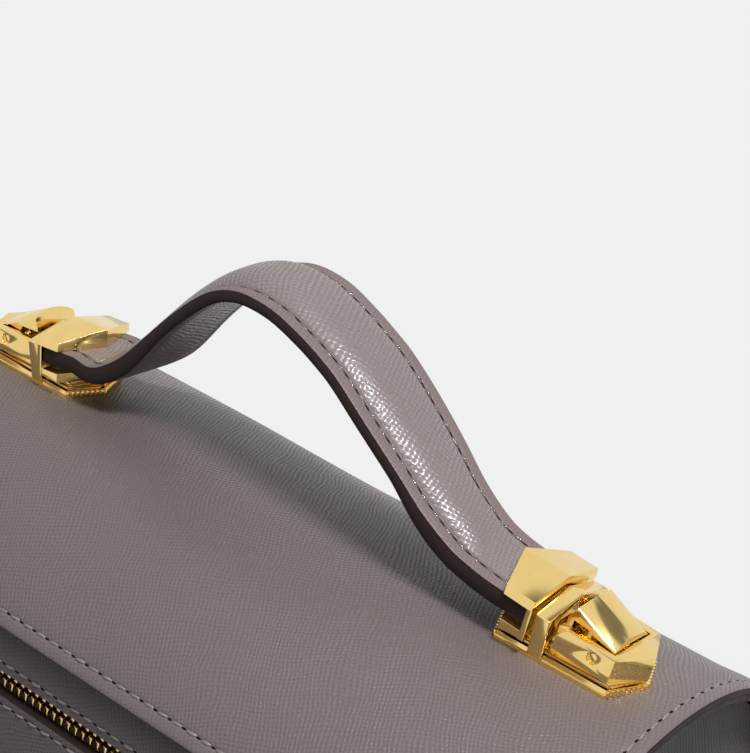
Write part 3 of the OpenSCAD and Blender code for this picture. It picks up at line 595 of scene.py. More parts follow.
def edge_lift(d):
    """Height of a sewn sheet's face at distance d from its edge: rolled edge, stitched groove and
    the slight swell inside it."""
    lift = -ROLL_DEPTH * max(0.0, 1 - d / 0.0009) ** 2
    lift -= GROOVE_DEPTH * math.exp(-((d - STITCH_INSET) / GROOVE_W) ** 2)
    return lift + SEAM_SWELL * smooth((d - STITCH_INSET) / 0.005)


def soft_noise(x, s, size, height, seed):
    """Soft uneven swell of about the given size across and height."""
    return noise.noise(Vector((x / size, s / size, seed))) * height


def new_piece(name, points, faces, materials, face_kinds, uvs=None, sharp=50):
    """Mesh object from points and faces, with one material for each kind of face."""
    mesh = bpy.data.meshes.new(name)
    mesh.from_pydata([tuple(p) for p in points], [], faces)
    for m in materials:
        mesh.materials.append(m)
    mesh.polygons.foreach_set("material_index", face_kinds)
    if uvs:
        layer = mesh.uv_layers.new(name="hide")
        flat = [c for loop in mesh.loops for c in uvs[loop.vertex_index]]
        layer.data.foreach_set("uv", flat)
    mesh.polygons.foreach_set("use_smooth", [True] * len(mesh.polygons))
    mesh.set_sharp_from_angle(angle=math.radians(sharp))
    mesh.validate()
    made = bpy.data.objects.new(name, mesh)
    bpy.context.scene.collection.objects.link(made)
    return made


def grid_faces(rows, cols, skip=None):
    """Faces between rows of points, but for those that skip names by row and column."""
    return [(r * cols + c, r * cols + c + 1, (r + 1) * cols + c + 1, (r + 1) * cols + c)
            for r in range(rows - 1) for c in range(cols - 1) if not (skip and skip(r, c))]


def flipped(faces):
    """The faces turned to look the other way."""
    return [tuple(reversed(f)) for f in faces]


def lay_out(rows, columns, place):
    """Points, normals and map places of a sheet's face, row by row: place gives all three."""
    return zip(*[place(row, column) for row in rows for column in columns])


RIM_SHARES = (0.12, 0.35, 0.65, 0.88)
RIM_BULGE = 0.00025
THIN_RIM_BULGE = 0.0001


def solid_sheet(name, points, normals, faces, depth, materials, uvs, bulge=RIM_BULGE):
    """Sheet with a thickness: its face, its back and a rounded rim along every open edge. depth is
    one number, or one for each point, and materials are those of the face, the back and the rim."""
    n = len(points)
    depths = depth if isinstance(depth, list) else [depth] * n
    backs = [p - normal * t for p, normal, t in zip(points, normals, depths)]
    edges = dict.fromkeys((a, b) for f in faces for a, b in zip(f, f[1:] + f[:1]))
    near = {}
    for a, b in edges:
        near.setdefault(a, set()).add(b)
        near.setdefault(b, set()).add(a)
    rim = [(a, b) for a, b in edges if (b, a) not in edges]
    on_rim = {v for edge in rim for v in edge}
    out = {}
    for v in on_rim:
        inner = [w for w in near[v] if w not in on_rim] or list(near[v])
        away = points[v] - sum((points[w] for w in inner), Vector()) / len(inner)
        away -= normals[v] * away.dot(normals[v])
        out[v] = away.normalized() if away.length > 1e-9 else Vector()
    all_points = list(points) + backs
    all_uvs = list(uvs) * 2
    all_faces = list(faces) + [tuple(v + n for v in f) for f in flipped(faces)]
    kinds = [0] * len(faces) + [1] * len(faces)
    rings = []
    for share in RIM_SHARES:
        ring = {}
        for v in on_rim:
            ring[v] = len(all_points)
            side = out[v] * bulge * math.sin(math.pi * share)
            all_points.append(points[v].lerp(backs[v], share) + side)
            all_uvs.append(uvs[v])
        rings.append(ring)
    for a, b in rim:
        levels = [(a, b)] + [(r[a], r[b]) for r in rings] + [(a + n, b + n)]
        for (a0, b0), (a1, b1) in zip(levels, levels[1:]):
            all_faces.append((b0, a0, a1, b1))
            kinds.append(2)
    return new_piece(name, all_points, all_faces, materials, kinds, all_uvs)


# Flap and back, one hide

FOLD_PHI = math.degrees(math.asin((HALF_D - FOLD_R) / (FLAP_R - FOLD_R)))
FOLD_Y = HALF_D - FOLD_R
HINGE_Z = ARC_Z + (FLAP_R - FOLD_R) * math.cos(math.radians(FOLD_PHI))


def hide_line(depth=0.0):
    """Line of the flap and the back at a depth under the outer face."""
    back = HALF_D - depth
    return Outline(
        round_stretch(0.0, ARC_Z, FLAP_R - depth, FRONT_ANGLE, FOLD_PHI),
        round_stretch(FOLD_Y, HINGE_Z, FOLD_R - depth, FOLD_PHI, 90.0),
        straight_stretch((back, HINGE_Z), (back, 0.0), (1.0, 0.0)))


HIDE = hide_line()
CROWN_RUN = FLAP_R * math.radians(-FRONT_ANGLE)
FLAP_RUN = HIDE.begin(2)


def flap_half_w(run):
    """Half width of the hide: rounded front corners, and narrower down the back."""
    w = mix(FLAP_HALF_W, BODY_HALF_W, smooth((run - FLAP_RUN + 0.003) / 0.009))
    if run < CORNER_R:
        w -= CORNER_R - math.sqrt(max(0.0, CORNER_R ** 2 - (CORNER_R - run) ** 2))
    return w


def flap_edge_distance(x, run):
    """Distance from the hide's nearest edge, round the front corners too."""
    if run < CORNER_R and abs(x) > FLAP_HALF_W - CORNER_R:
        return CORNER_R - math.hypot(abs(x) - (FLAP_HALF_W - CORNER_R), CORNER_R - run)
    return max(0.0, min(run, flap_half_w(run) - abs(x), HIDE.length - run + 0.002))


def fitting_calm(x, y):
    """0 under the fittings, where the hide is drawn flat, and 1 away from them."""
    beside = abs(abs(x) - FITTING_X) / FITTING_REACH_X
    return 1 - smooth(1.6 - beside) * smooth(1.6 - abs(y) / FITTING_REACH_Y)


def flap_sag(x, run):
    """The crown sags between the fittings and stands a little proud near its ends."""
    on_crown = eased(run, 0.030, 0.020) * smooth((FLAP_RUN + 0.004 - run) / 0.020)
    share = abs(x) / FLAP_HALF_W
    sag = -CROWN_SAG * (1 - smooth(share / SAG_END)) + CROWN_PROUD * eased(share, PROUD_BEGIN, 0.12)
    return on_crown * sag


def flap_point(x, run):
    """Place and normal on the outer face of the hide at x and at a run from its front edge."""
    p, n = HIDE.at(run)
    lift = edge_lift(flap_edge_distance(x, run))
    calm = fitting_calm(x, p[0])
    lift += calm * (soft_noise(x, run, *FLAP_BROAD) + soft_noise(x, run, *FLAP_NARROW))
    if run > FLAP_RUN:
        low = (run - FLAP_RUN) / (HIDE.length - FLAP_RUN)
        lift += BACK_SWELL * math.sin(math.pi * low) * (1 - (x / BODY_HALF_W) ** 2)
    lift -= SEAT_DEPTH * (1 - calm)
    lift += flap_sag(x, run)
    normal = Vector((0.0, n[0], n[1]))
    return Vector((x, p[0], p[1])) + normal * lift, normal


def sheet_columns(half_w, step=MIDDLE_STEP, places=()):
    """Columns of a sheet: (side, inset) near its edges and shares of the width between them, with
    close ones round each place. Gives the width of the edges' bands too."""
    steps = inset_steps()
    band = steps[-1]
    inner = between(-(half_w - band), half_w - band, step)
    inner = with_dense(inner, places, SCREW_COLUMNS_REACH, FINE_STEP)
    left = [(-1, v) for v in steps]
    return left + [x / (half_w - band) for x in inner] + [(1, v) for v in reversed(steps)], band


def column_x(c, half_w, band):
    """Place of a column of sheet_columns where the sheet has another half width."""
    if isinstance(c, tuple):
        return c[0] * (half_w - c[1])
    return c * (half_w - band)


def build_hide():
    """Flap's outer leather and the back in one sheet, which bends at the hinge."""
    columns, band = sheet_columns(FLAP_HALF_W)
    bend_run = FLAP_RUN - 0.010
    runs = inset_steps() + between(EDGE_BAND, bend_run, 0.0026)
    runs += [bend_run + i * HINGE_STEP for i in range(HINGE_ROWS)]
    runs += between(runs[-1], HIDE.length - EDGE_BAND, 0.0045)
    runs += [HIDE.length - v for v in reversed(inset_steps())]

    def place(run, column):
        x = column_x(column, flap_half_w(run), band)
        return *flap_point(x, run), (x, run)

    points, normals, uvs = lay_out(runs, columns, place)
    depths = [mix(SKIN_T, PANEL_T, eased(run, FLAP_RUN, 0.012)) for _, run in uvs]
    hide = solid_sheet("flap_and_back_hide", points, normals, grid_faces(len(runs), len(columns)),
                       depths, [FLAP_HIDE, LINING_HIDE, EDGE_PAINT], uvs)
    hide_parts("flap_leather", "back_panel")
    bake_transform(hide)


def screw_hollow(x, y):
    """The lining is pressed in round the heads of the fittings' screws."""
    near = min(math.hypot(abs(x) - place_x, y - place_y) for place_x, place_y in SCREW_HEADS)
    return hollow(near, SCREW_HEAD_R + CLEARANCE, SCREW_HOLLOW, SCREW_HOLLOW_WALL)


def build_flap_lining():
    """Lining under the flap, with the stiffening board inside it."""
    under = SKIN_T + LAYER_GAP
    line = hide_line(under)
    end = FLAP_RUN - 0.002
    screw_columns = sorted({side * x for x, _ in SCREW_HEADS for side in (-1, 1)})
    columns, band = sheet_columns(FLAP_HALF_W, COARSE_STEP, screw_columns)
    runs = inset_steps(dense=False) + between(EDGE_BAND, end - 0.002, 0.004) + [end - 0.002, end]
    runs = with_dense(runs, [CROWN_RUN], SCREW_ROWS_REACH, FINE_STEP)
    scale = line.begin(2) / FLAP_RUN

    def place(run, column):
        (y, z), n = line.at(max(0.0, run * scale + 0.0001))
        x = column_x(column, flap_half_w(run) - 0.0002, band)
        normal = Vector((0, n[0], n[1]))
        return Vector((x, y, z)) + normal * flap_sag(x, run), normal, (x, run)

    points, normals, uvs = lay_out(runs, columns, place)
    depths = [FLAP_T - under - 0.0002 * (1 - smooth(flap_edge_distance(x, run) / 0.001))
              - screw_hollow(p[0], p[1]) for (x, run), p in zip(uvs, points)]
    made = solid_sheet("flap_lining_hide", points, normals, grid_faces(len(runs), len(columns)),
                       depths, [LINING_HIDE, LINING_HIDE, EDGE_PAINT], uvs)
    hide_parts("flap_lining", "flap_board")
    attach(made, "flap")


# Body

def arch_line(half, radius, bend, angle, low):
    """Front half of an arch, from low up its front, round the bend and along to angle."""
    phi = math.degrees(math.asin((half - bend) / (radius - bend)))
    spring = ARC_Z + (radius - bend) * math.cos(math.radians(phi))
    return Outline(
        straight_stretch((-half, low), (-half, spring), (-1.0, 0.0)),
        round_stretch(-(half - bend), spring, bend, -90.0, -phi),
        round_stretch(0.0, ARC_Z, radius, -phi, angle))


FRONT = arch_line(HALF_D, PANEL_R, BEND_R, MOUTH_ANGLE, 0.0)
GUSSET_HALF = INNER_HALF_D - CLEARANCE
GUSSET_BACK_Z = HINGE_Z - 0.0012
GUSSET_FRONT_STEPS = 60
GUSSET_LIP_STEPS = 70


def slot_warp(x, z):
    """Draws the rows that bound the zip's slot together into its round ends."""
    end = abs(x) - (SLOT_HALF - SLOT_R)
    if end <= 0:
        opening = SLOT_R
    elif end <= SLOT_R:
        opening = math.sqrt(max(0.0, SLOT_R ** 2 - end ** 2))
    else:
        opening = SLOT_R * eased(end, SLOT_R, 0.008)
    d = z - ZIP_Z
    if abs(d) > SLOT_REACH:
        return z
    if abs(d) <= SLOT_R:
        return ZIP_Z + d * opening / SLOT_R
    share = (SLOT_REACH - abs(d)) / (SLOT_REACH - SLOT_R)
    return z - math.copysign((SLOT_R - opening) * share, d)


def socket_distance(x, run):
    """Distance from the axis of the nearer snap socket, along the panel."""
    (y, z), _ = FRONT.at(run)
    across = y * math.cos(SNAP_ANGLE) - (z - ARC_Z) * math.sin(SNAP_ANGLE)
    return math.hypot(abs(x) - SNAP_X, across) if z > FRONT_SPRING else 1.0


def socket_hollow(x, run):
    """The panel is pressed in round the snap sockets."""
    distance = socket_distance(x, run)
    return hollow(distance, SOCKET_R - 2 * CLEARANCE, SOCKET_HOLLOW, SOCKET_HOLLOW_WALL)


def pull_rest(x, z):
    """1 where the zip's pull comes to lie beyond the slot's far end, and 0 elsewhere."""
    beyond = smooth((-x - SLOT_HALF + 0.006) / 0.004) * smooth((x + PULL_FAR) / 0.003)
    return beyond * (1 - smooth((abs(z - ZIP_Z) - 0.0040) / 0.0035))


def front_point(x, run):
    """Place and normal on the outer face of the front panel."""
    (y, z), n = FRONT.at(run)
    d = min(BODY_HALF_W - abs(x), run + 0.002, FRONT.length - run)
    lift = edge_lift(max(0.0, d))
    flat = eased(socket_distance(x, run), SOCKET_R + 0.001, 0.005)
    lift -= SLOT_GROOVE_DEPTH * math.exp(-((slot_distance(x, z) - ZIP_ROW_GAP) / GROOVE_W) ** 2)
    lift += FRONT_SWELL * math.sin(math.pi * min(1.0, run / 0.15)) * (1 - (x / BODY_HALF_W) ** 2)
    lift += soft_noise(x, run, *FRONT_UNEVEN)
    rest = pull_rest(x, z)
    lift = lift * flat * (1 - rest) - socket_hollow(x, run) - PULL_REST * rest
    normal = Vector((0.0, n[0], n[1]))
    return Vector((x, y, z)) + normal * lift, normal


def slot_distance(x, z):
    """Distance from the slot's middle line."""
    return math.hypot(max(0.0, abs(x) - (SLOT_HALF - SLOT_R)), z - ZIP_Z)


def front_columns():
    """Columns of the front panel, close together at its edges, the slot's ends and the snaps."""
    xs = inset_steps(-BODY_HALF_W)
    near_end = [-(SLOT_HALF + v * MM) for v in (8, 6, 4.5, 3.2, 2, 1, 0.4)]
    xs += [x for x in near_end if x > xs[-1]]
    xs += [-(SLOT_HALF - v * MM) for v in (0, 0.15, 0.5, 1.0, 1.7, 2.4, 3.0)]
    inner = between(xs[-1], -xs[-1], MIDDLE_STEP)
    inner = with_dense(inner, (-SNAP_X, SNAP_X), SOCKET_COLUMNS_REACH, PRESSED_STEP)
    return xs + inner + [-x for x in reversed(xs)]


def front_rows():
    """Rows of the front panel, and which of them is the slot's lower edge."""
    beside_slot = (3.4, 3.8, 4.3, 4.7, 5, 5.3, 5.7, 6.4, 7.5, 9)
    runs = inset_steps() + between(EDGE_BAND, ZIP_Z - SLOT_REACH, 0.005)
    runs += [ZIP_Z - v * MM for v in reversed(beside_slot)]
    slot_low = len(runs)
    runs += [ZIP_Z - SLOT_R, ZIP_Z + SLOT_R]
    runs += [ZIP_Z + v * MM for v in beside_slot]
    socket_run = FRONT.length - (math.radians(MOUTH_ANGLE) - SNAP_ANGLE) * PANEL_R
    shoulder = between(runs[-1], FRONT.length - EDGE_BAND, 0.0016)
    shoulder += [FRONT.length - v for v in reversed(inset_steps())]
    shoulder = with_dense(shoulder, [socket_run], SOCKET_ROWS_REACH, PRESSED_STEP)
    return runs + shoulder, slot_low


def build_front():
    """Front panel with the zip's slot, pressed in round the snap sockets."""
    xs = front_columns()
    runs, slot_low = front_rows()

    def place(run, x):
        warped = slot_warp(x, run)
        return *front_point(x, warped), (x, warped)

    points, normals, uvs = lay_out(runs, xs, place)
    depths = [PANEL_T - CLEARANCE - socket_hollow(x, run) for x, run in uvs]
    inside = [abs(a + b) / 2 < SLOT_HALF for a, b in zip(xs, xs[1:])]
    faces = grid_faces(len(runs), len(xs), lambda i, j: i == slot_low and inside[j])
    made = solid_sheet("front_hide", points, normals, faces, depths,
                       [PANEL_HIDE, LINING_HIDE, EDGE_PAINT], uvs)
    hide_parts("front_panel")
    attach(made, "bag_body")


def gusset_outline():
    """Outline of a side panel in depth and height, from its front foot round to its back foot."""
    front = arch_line(GUSSET_HALF, PANEL_R - PANEL_T, BEND_R - PANEL_T, MOUTH_ANGLE, BASE_T)
    line = [front.at(run)[0] for run in even(0.0, front.length, GUSSET_FRONT_STEPS)]
    lip_r = FLAP_R - FLAP_T - LIP_GAP
    lip_half = HALF_D - FLAP_T - LIP_GAP
    lip_b = FOLD_R - FLAP_T - 0.0004
    phi = math.degrees(math.asin((lip_half - lip_b) / (lip_r - lip_b)))
    spring = ARC_Z + (lip_r - lip_b) * math.cos(math.radians(phi))
    lip = Outline(round_stretch(0.0, ARC_Z, lip_r, MOUTH_ANGLE, phi),
                  round_stretch(lip_half - lip_b, spring, lip_b, phi, 90.0))
    line += [lip.at(run)[0] for run in even(0.0, lip.length, GUSSET_LIP_STEPS)]
    return line + [Vector((GUSSET_HALF, GUSSET_BACK_Z)), Vector((GUSSET_HALF, BASE_T))]


def side_fold(y, z, half):
    """How far a side is drawn in at depth y and height z, as a soft side folds."""
    return SIDE_FOLD * math.cos(math.pi * y / (2 * half)) ** 2 * eased(z, 0.02, 0.08)


def build_gusset(side):
    """Side panel, drawn in a little along its middle."""
    line = gusset_outline()
    lip_ys = {round(p[0], 6) for p in line[GUSSET_FRONT_STEPS + 1:-2:3]}
    even_ys = {round(y, 6) for y in even(-GUSSET_HALF, GUSSET_HALF, 44)}
    ys = [y for y in sorted(lip_ys | even_ys) if -GUSSET_HALF <= y <= GUSSET_HALF]
    levels = even(0.0, 1.0, 45)
    x0 = side * (BODY_HALF_W - SIDE_INSET)
    size, height, seed = SIDE_UNEVEN

    def place(y, level):
        z = mix(BASE_T, gusset_top(line, y), level)
        fold = side_fold(y, z, GUSSET_HALF) * (1 - 0.5 * eased(z, 0.17, 0.03))
        swell = soft_noise(y, z, size, height, side * seed)
        point = Vector((x0 - side * (fold - swell + FACE_INSET), y, z))
        return point, Vector((side, 0, 0)), (y, z)

    points, normals, uvs = lay_out(ys, levels, place)
    faces = grid_faces(len(ys), len(levels))
    name = "gusset_right" if side > 0 else "gusset_left"
    made = solid_sheet(name + "_hide", points, normals, faces if side > 0 else flipped(faces),
                       PANEL_T - 0.0004, [GUSSET_HIDE, LINING_HIDE, EDGE_PAINT],
                       uvs, 0.0002)
    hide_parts(name)
    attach(made, "bag_body")


def gusset_top(line, y):
    """Height of the side panel's top edge at depth y."""
    for p, q in zip(line, line[1:]):
        if p[0] <= y <= q[0] and q[0] - p[0] > 1e-9:
            return mix(p[1], q[1], (y - p[0]) / (q[0] - p[0]))
    return line[GUSSET_FRONT_STEPS][1] if y < 0 else GUSSET_BACK_Z


def build_base():
    """Bottom panel with the board in it, its underside almost flat on the ground."""
    half_w, half_d = BODY_HALF_W, GUSSET_HALF
    xs = span(-half_w, half_w, COARSE_STEP)
    ys = span(-half_d, half_d, COARSE_STEP)

    def place(x, y):
        d = min(half_w - abs(x), half_d - abs(y))
        z = 0.0002 + 0.0003 * max(0.0, 1 - d / 0.002) ** 2
        return Vector((x, y, z)), Vector((0, 0, -1)), (x, y)

    points, normals, uvs = lay_out(xs, ys, place)
    made = solid_sheet("base_hide", points, normals, grid_faces(len(xs), len(ys)),
                       BASE_T - 0.0003, [PANEL_HIDE, LINING_HIDE, EDGE_PAINT],
                       uvs)
    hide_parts("base_panel", "base_board")
    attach(made, "bag_body")


# Inside

def lining_ring():
    """Outline of the lining in depth and height, from the mouth's front edge down the front, over
    the floor and up the back."""
    half = INNER_HALF_D - LINING_GAP
    radius = PANEL_R - PANEL_T - LINING_GAP
    step_y = -(half - POUCH_ROOM)
    step_z = ZIP_Z + 0.0068
    floor = BASE_T + BOARD_ROOM
    corner = 0.004
    turns = (0, 0.4, 0.8, 1.2, math.pi / 2)
    front = arch_line(half, radius, BEND_R - PANEL_T, MOUTH_ANGLE - 1.0, step_z)
    line = [front.at(run)[0] for run in even(front.length, 0.0, 24)]
    line += [Vector((step_y, z)) for z in even(step_z, floor + corner, 24)]
    line += [Vector((step_y + corner * (1 - math.cos(a)), floor + corner * (1 - math.sin(a))))
             for a in turns[1:]]
    line += [Vector((y, floor)) for y in even(step_y + corner, half - corner, 12)[1:-1]]
    line += [Vector((half - corner + corner * math.sin(a), floor + corner * (1 - math.cos(a))))
             for a in turns]
    top = HINGE_Z - 0.001
    return line + [Vector((half, z)) for z in even(floor + corner, top, 26)[1:]]


def build_lining():
    """Lining bag: a front, floor and back in one, with two side walls."""
    line = lining_ring()
    half_w = BODY_HALF_W - SIDE_INSET - PANEL_T - LINING_GAP
    xs = [-half_w + v for v in (0, 0.0008, 0.002, 0.004)]
    xs += between(xs[-1], -xs[-1], COARSE_STEP) + [-x for x in reversed(xs)]
    rows = []
    run = 0.0
    for i, p in enumerate(line):
        before, after = line[max(0, i - 1)], line[min(len(line) - 1, i + 1)]
        along = (after - before).normalized()
        run += (p - before).length
        rows.append((p, Vector((0.0, along[1], -along[0])), run))

    def place(row, x):
        p, out, run = row
        from_side = half_w - abs(x)
        tuck = LINING_TUCK * (1 - smooth(from_side / 0.004))
        sag = soft_noise(x, run, *LINING_UNEVEN) * smooth(from_side / 0.01)
        return Vector((x, p[0], p[1])) - out * (tuck + sag + FACE_INSET), out, (x, run)

    points, normals, uvs = lay_out(rows, xs, place)
    wall = solid_sheet("bag_lining", points, normals, flipped(grid_faces(len(line), len(xs))),
                       LINING_T, [LINING_HIDE] * 3, uvs, THIN_RIM_BULGE)
    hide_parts("body_lining")
    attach(wall, "bag_body")
    for side in (-1, 1):
        build_lining_side(side, half_w)


def build_lining_side(side, half_w):
    """Side wall of the lining, drawn in with the side panel."""
    line = gusset_outline()
    half = INNER_HALF_D - 0.0012
    low_y = -(half - POUCH_ROOM) + 0.0004
    ys = even(low_y, half - 0.0004, 34)
    levels = even(0.0, 1.0, 33)

    def place(y, level):
        top = min(gusset_top(line, y) - 0.004, PANEL_R + ARC_Z - 0.004)
        z = mix(BASE_T + BOARD_ROOM + 0.001, top, level)
        x = side * (half_w - 0.0008 - side_fold(y, z, half))
        return Vector((x, y, z)), Vector((side, 0, 0)), (y, z)

    points, normals, uvs = lay_out(ys, levels, place)
    faces = grid_faces(len(ys), len(levels))
    name = "lining_side_right" if side > 0 else "lining_side_left"
    made = solid_sheet(name, points, normals, faces if side > 0 else flipped(faces), LINING_T,
                       [LINING_HIDE] * 3, uvs, THIN_RIM_BULGE)
    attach(made, "bag_body")


def build_slip_pocket():
    """Flat pocket sewn to the lining's back wall, its mouth standing a little open."""
    half, low, high = POCKET_HALF_W, POCKET_LOW, POCKET_HIGH
    wall_y = INNER_HALF_D - LINING_GAP - LINING_T - 0.0012
    xs = span(-half, half, COARSE_STEP)
    zs = span(low, high, COARSE_STEP)

    def place(x, z):
        d = min(half - abs(x), z - low)
        gape = POCKET_GAPE * eased(z, low, high - low) * (1 - (x / half) ** 2)
        lift = 0.0003 + gape + edge_lift(max(0.0, min(d, high - z + 0.001)))
        return Vector((x, wall_y - lift, z)), Vector((0, -1, 0)), (x, z)

    points, normals, uvs = lay_out(xs, zs, place)
    made = solid_sheet("slip_pocket_hide", points, normals, grid_faces(len(xs), len(zs)),
                       LINING_T - CLEARANCE, [LINING_HIDE, LINING_HIDE, EDGE_PAINT],
                       uvs)
    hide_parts("slip_pocket")
    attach(made, "bag_body")
    side, top, bottom = half - STITCH_INSET, high - STITCH_INSET, low + STITCH_INSET
    path = [Vector((x, wall_y - 0.0006, z))
            for x, z in ((-side, top), (-side, bottom), (side, bottom), (side, top))]
    sew("slip_pocket_stitching", dense_path(path), Vector((0, -1, 0)), "bag_body")


# Sewing

PATH_STEP = 0.0005
STITCH_SIDES = 8
STITCH_SHARES = (0.0, 0.06, 0.18, 0.35, 0.5, 0.65, 0.82, 0.94, 1.0)
STITCH_RISE = 0.00034
STITCH_SINK = 0.00019
HOLE_SIDES = 10
HOLE_LONG = 0.00062
HOLE_WIDE = 0.00044
HOLE_RINGS = ((1.0, 0.00002), (0.55, 0.00006))


def dense_path(corners):
    """Points close together along straight stretches."""
    points = []
    for p, q in zip(corners, corners[1:]):
        n = max(1, int((q - p).length / PATH_STEP))
        points += [p.lerp(q, i / n) for i in range(n)]
    return points + [corners[-1]]


def walk(points, normals):
    """Needle holes spaced evenly along a line of points: (point, normal)."""
    lengths = [0.0]
    for p, q in zip(points, points[1:]):
        lengths.append(lengths[-1] + (q - p).length)
    count = max(1, round(lengths[-1] / STITCH_PITCH))
    real = lengths[-1] / count
    places, k = [], 0
    for i in range(count + 1):
        want = min(i * real, lengths[-1])
        while k < len(lengths) - 2 and lengths[k + 1] < want:
            k += 1
        share = (want - lengths[k]) / max(1e-12, lengths[k + 1] - lengths[k])
        n = normals if isinstance(normals, Vector) else normals[k].lerp(normals[k + 1], share)
        places.append((points[k].lerp(points[k + 1], share), n.normalized()))
    return places


def round_pairs(base, sides):
    """Neighbouring points of a ring of sides points that starts at base."""
    return [(base + k, base + (k + 1) % sides) for k in range(sides)]


def add_stitch(verts, faces, first, second, slant):
    """One thread stitch between two needle holes, dipping into both."""
    (p, n), (q, m) = first, second
    along = q - p
    length = along.length
    along.normalize()
    up = (n + m).normalized()
    across = along.cross(up).normalized()
    shift = across * slant * MM * length / STITCH_PITCH
    start = p + along * (STITCH_GAP / 2) + shift
    stop = q - along * (STITCH_GAP / 2) - shift
    loose = rng.uniform(0.75, 1.25)
    thick = THREAD_R * rng.uniform(0.88, 1.08)
    base = len(verts)
    for share in STITCH_SHARES:
        bow = math.sin(math.pi * share)
        rise = bow ** 0.6 * STITCH_RISE * loose - STITCH_SINK
        centre = start.lerp(stop, share) + up * rise
        r = thick * (0.35 + 0.65 * bow ** 0.5)
        for k in range(STITCH_SIDES):
            a = math.tau * k / STITCH_SIDES
            verts.append(centre + across * math.cos(a) * r + up * math.sin(a) * r * 0.8)
    last = len(verts) - STITCH_SIDES
    for ring in range(base, last, STITCH_SIDES):
        faces += [(a, b, b + STITCH_SIDES, a + STITCH_SIDES)
                  for a, b in round_pairs(ring, STITCH_SIDES)]
    faces.append(tuple(base + k for k in reversed(range(STITCH_SIDES))))
    faces.append(tuple(last + k for k in range(STITCH_SIDES)))


def add_needle_hole_shade(verts, faces, p, n, along):
    """Flat dark oval of painted shade where a needle hole is, a hair over the leather."""
    across = along.cross(n).normalized()
    base = len(verts)
    for r, h in HOLE_RINGS:
        for k in range(HOLE_SIDES):
            a = math.tau * k / HOLE_SIDES
            verts.append(p + along * math.cos(a) * HOLE_LONG * r
                         + across * math.sin(a) * HOLE_WIDE * r + n * h)
    faces += [(b, a, a + HOLE_SIDES, b + HOLE_SIDES) for a, b in round_pairs(base, HOLE_SIDES)]
    faces.append(tuple(base + HOLE_SIDES + k for k in reversed(range(HOLE_SIDES))))


def sew(name, points, normals, body, slant=0.10, thread=THREAD):
    """Row of thread stitches along a line of points, with the painted shade of a needle hole
    between each two. Where the row closes, its last hole lies as its first one does."""
    places = walk(points, normals)
    verts, faces = [], []
    for first, second in zip(places, places[1:]):
        add_stitch(verts, faces, first, second, slant)
    kinds = [0] * len(faces)
    for i, (p, n) in enumerate(places):
        closed = (p - places[0][0]).length < PATH_STEP
        k = 0 if closed else min(i, len(places) - 2)
        along = (places[k + 1][0] - places[k][0]).normalized()
        add_needle_hole_shade(verts, faces, p, n, along)
    kinds += [1] * (len(faces) - len(kinds))
    made = new_piece(name, verts, faces, [thread, NEEDLE_HOLE_SHADE], kinds)
    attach(made, body)


def sew_sheet(name, sheet_point, places, body):
    """Row of stitches through places on a sheet."""
    points, normals = zip(*[sheet_point(x, run) for x, run in places])
    sew(name, points, normals, body)


def sew_sides(word, sheet_point, low, high):
    """Rows down both sides of the front or the back."""
    x = BODY_HALF_W - STITCH_INSET
    for side, side_word in ((-1, "left"), (1, "right")):
        places = [(side * x, run) for run in even(low, high, ROW_STEPS)]
        sew_sheet(f"{word}_stitching_{side_word}", sheet_point, places, "bag_body")


def sew_flap():
    """Row round the flap's sides and front."""
    end = FLAP_RUN - 0.006
    r = CORNER_R - STITCH_INSET
    straight = FLAP_HALF_W - CORNER_R
    turns = [math.pi / 2 * i / 16 for i in range(1, 16)]
    side = FLAP_HALF_W - STITCH_INSET
    places = [(-side, run) for run in even(end, CORNER_R, SHORT_ROW_STEPS)]
    places += [(-straight - r * math.cos(a), CORNER_R - r * math.sin(a)) for a in turns]
    places += [(x, STITCH_INSET) for x in even(-straight, straight, ROW_STEPS)]
    places += [(straight + r * math.sin(a), CORNER_R - r * math.cos(a)) for a in turns]
    places += [(side, run) for run in even(CORNER_R, end, SHORT_ROW_STEPS)]
    sew_sheet("flap_stitching", flap_point, places, "flap")


def sew_back():
    """Rows down both sides of the back, from under the fold."""
    sew_sides("back", flap_point, FLAP_RUN + 0.012, HIDE.length - 0.003)


def sew_front():
    """Rows down both sides of the front, and one row right round the zip's slot."""
    sew_sides("front", front_point, 0.003, FRONT.length - 0.004)
    straight = SLOT_HALF - SLOT_R
    r = ZIP_ROW_GAP
    turns = [math.pi * i / 24 for i in range(1, 25)]
    ring = [(x, ZIP_Z + r) for x in even(-straight, straight, ROW_STEPS)]
    ring += [(straight + r * math.sin(a), ZIP_Z + r * math.cos(a)) for a in turns[:-1]]
    ring += [(x, ZIP_Z - r) for x in even(straight, -straight, ROW_STEPS)]
    ring += [(-straight - r * math.sin(a), ZIP_Z - r * math.cos(a)) for a in turns]
    sew_sheet("zip_stitching", front_point, ring, "bag_body")


# Handle

STRAP_STEPS = 10
STRAP_SEWN = 0.92

# Kinds of the strap's faces, in the order of its materials
PADDED, PAINTED, MARGIN, SEAM_SHADE = range(4)


def strap_line():
    """Smooth curve through the strap's shares, at close steps."""
    knots = STRAP_SHARES
    last = len(knots) - 1
    line = []
    for i in range(last):
        a, b, c, d = (knots[min(last, max(0, k))] for k in (i - 1, i, i + 1, i + 2))
        for k in range(STRAP_STEPS):
            t = k / STRAP_STEPS
            line.append([0.5 * (2 * q + (r - p) * t + (2 * p - 5 * q + 4 * r - s) * t * t
                                + (3 * q - p - 3 * r + s) * t ** 3)
                         for p, q, r, s in zip(a, b, c, d)])
    line.append(list(knots[last]))
    return line


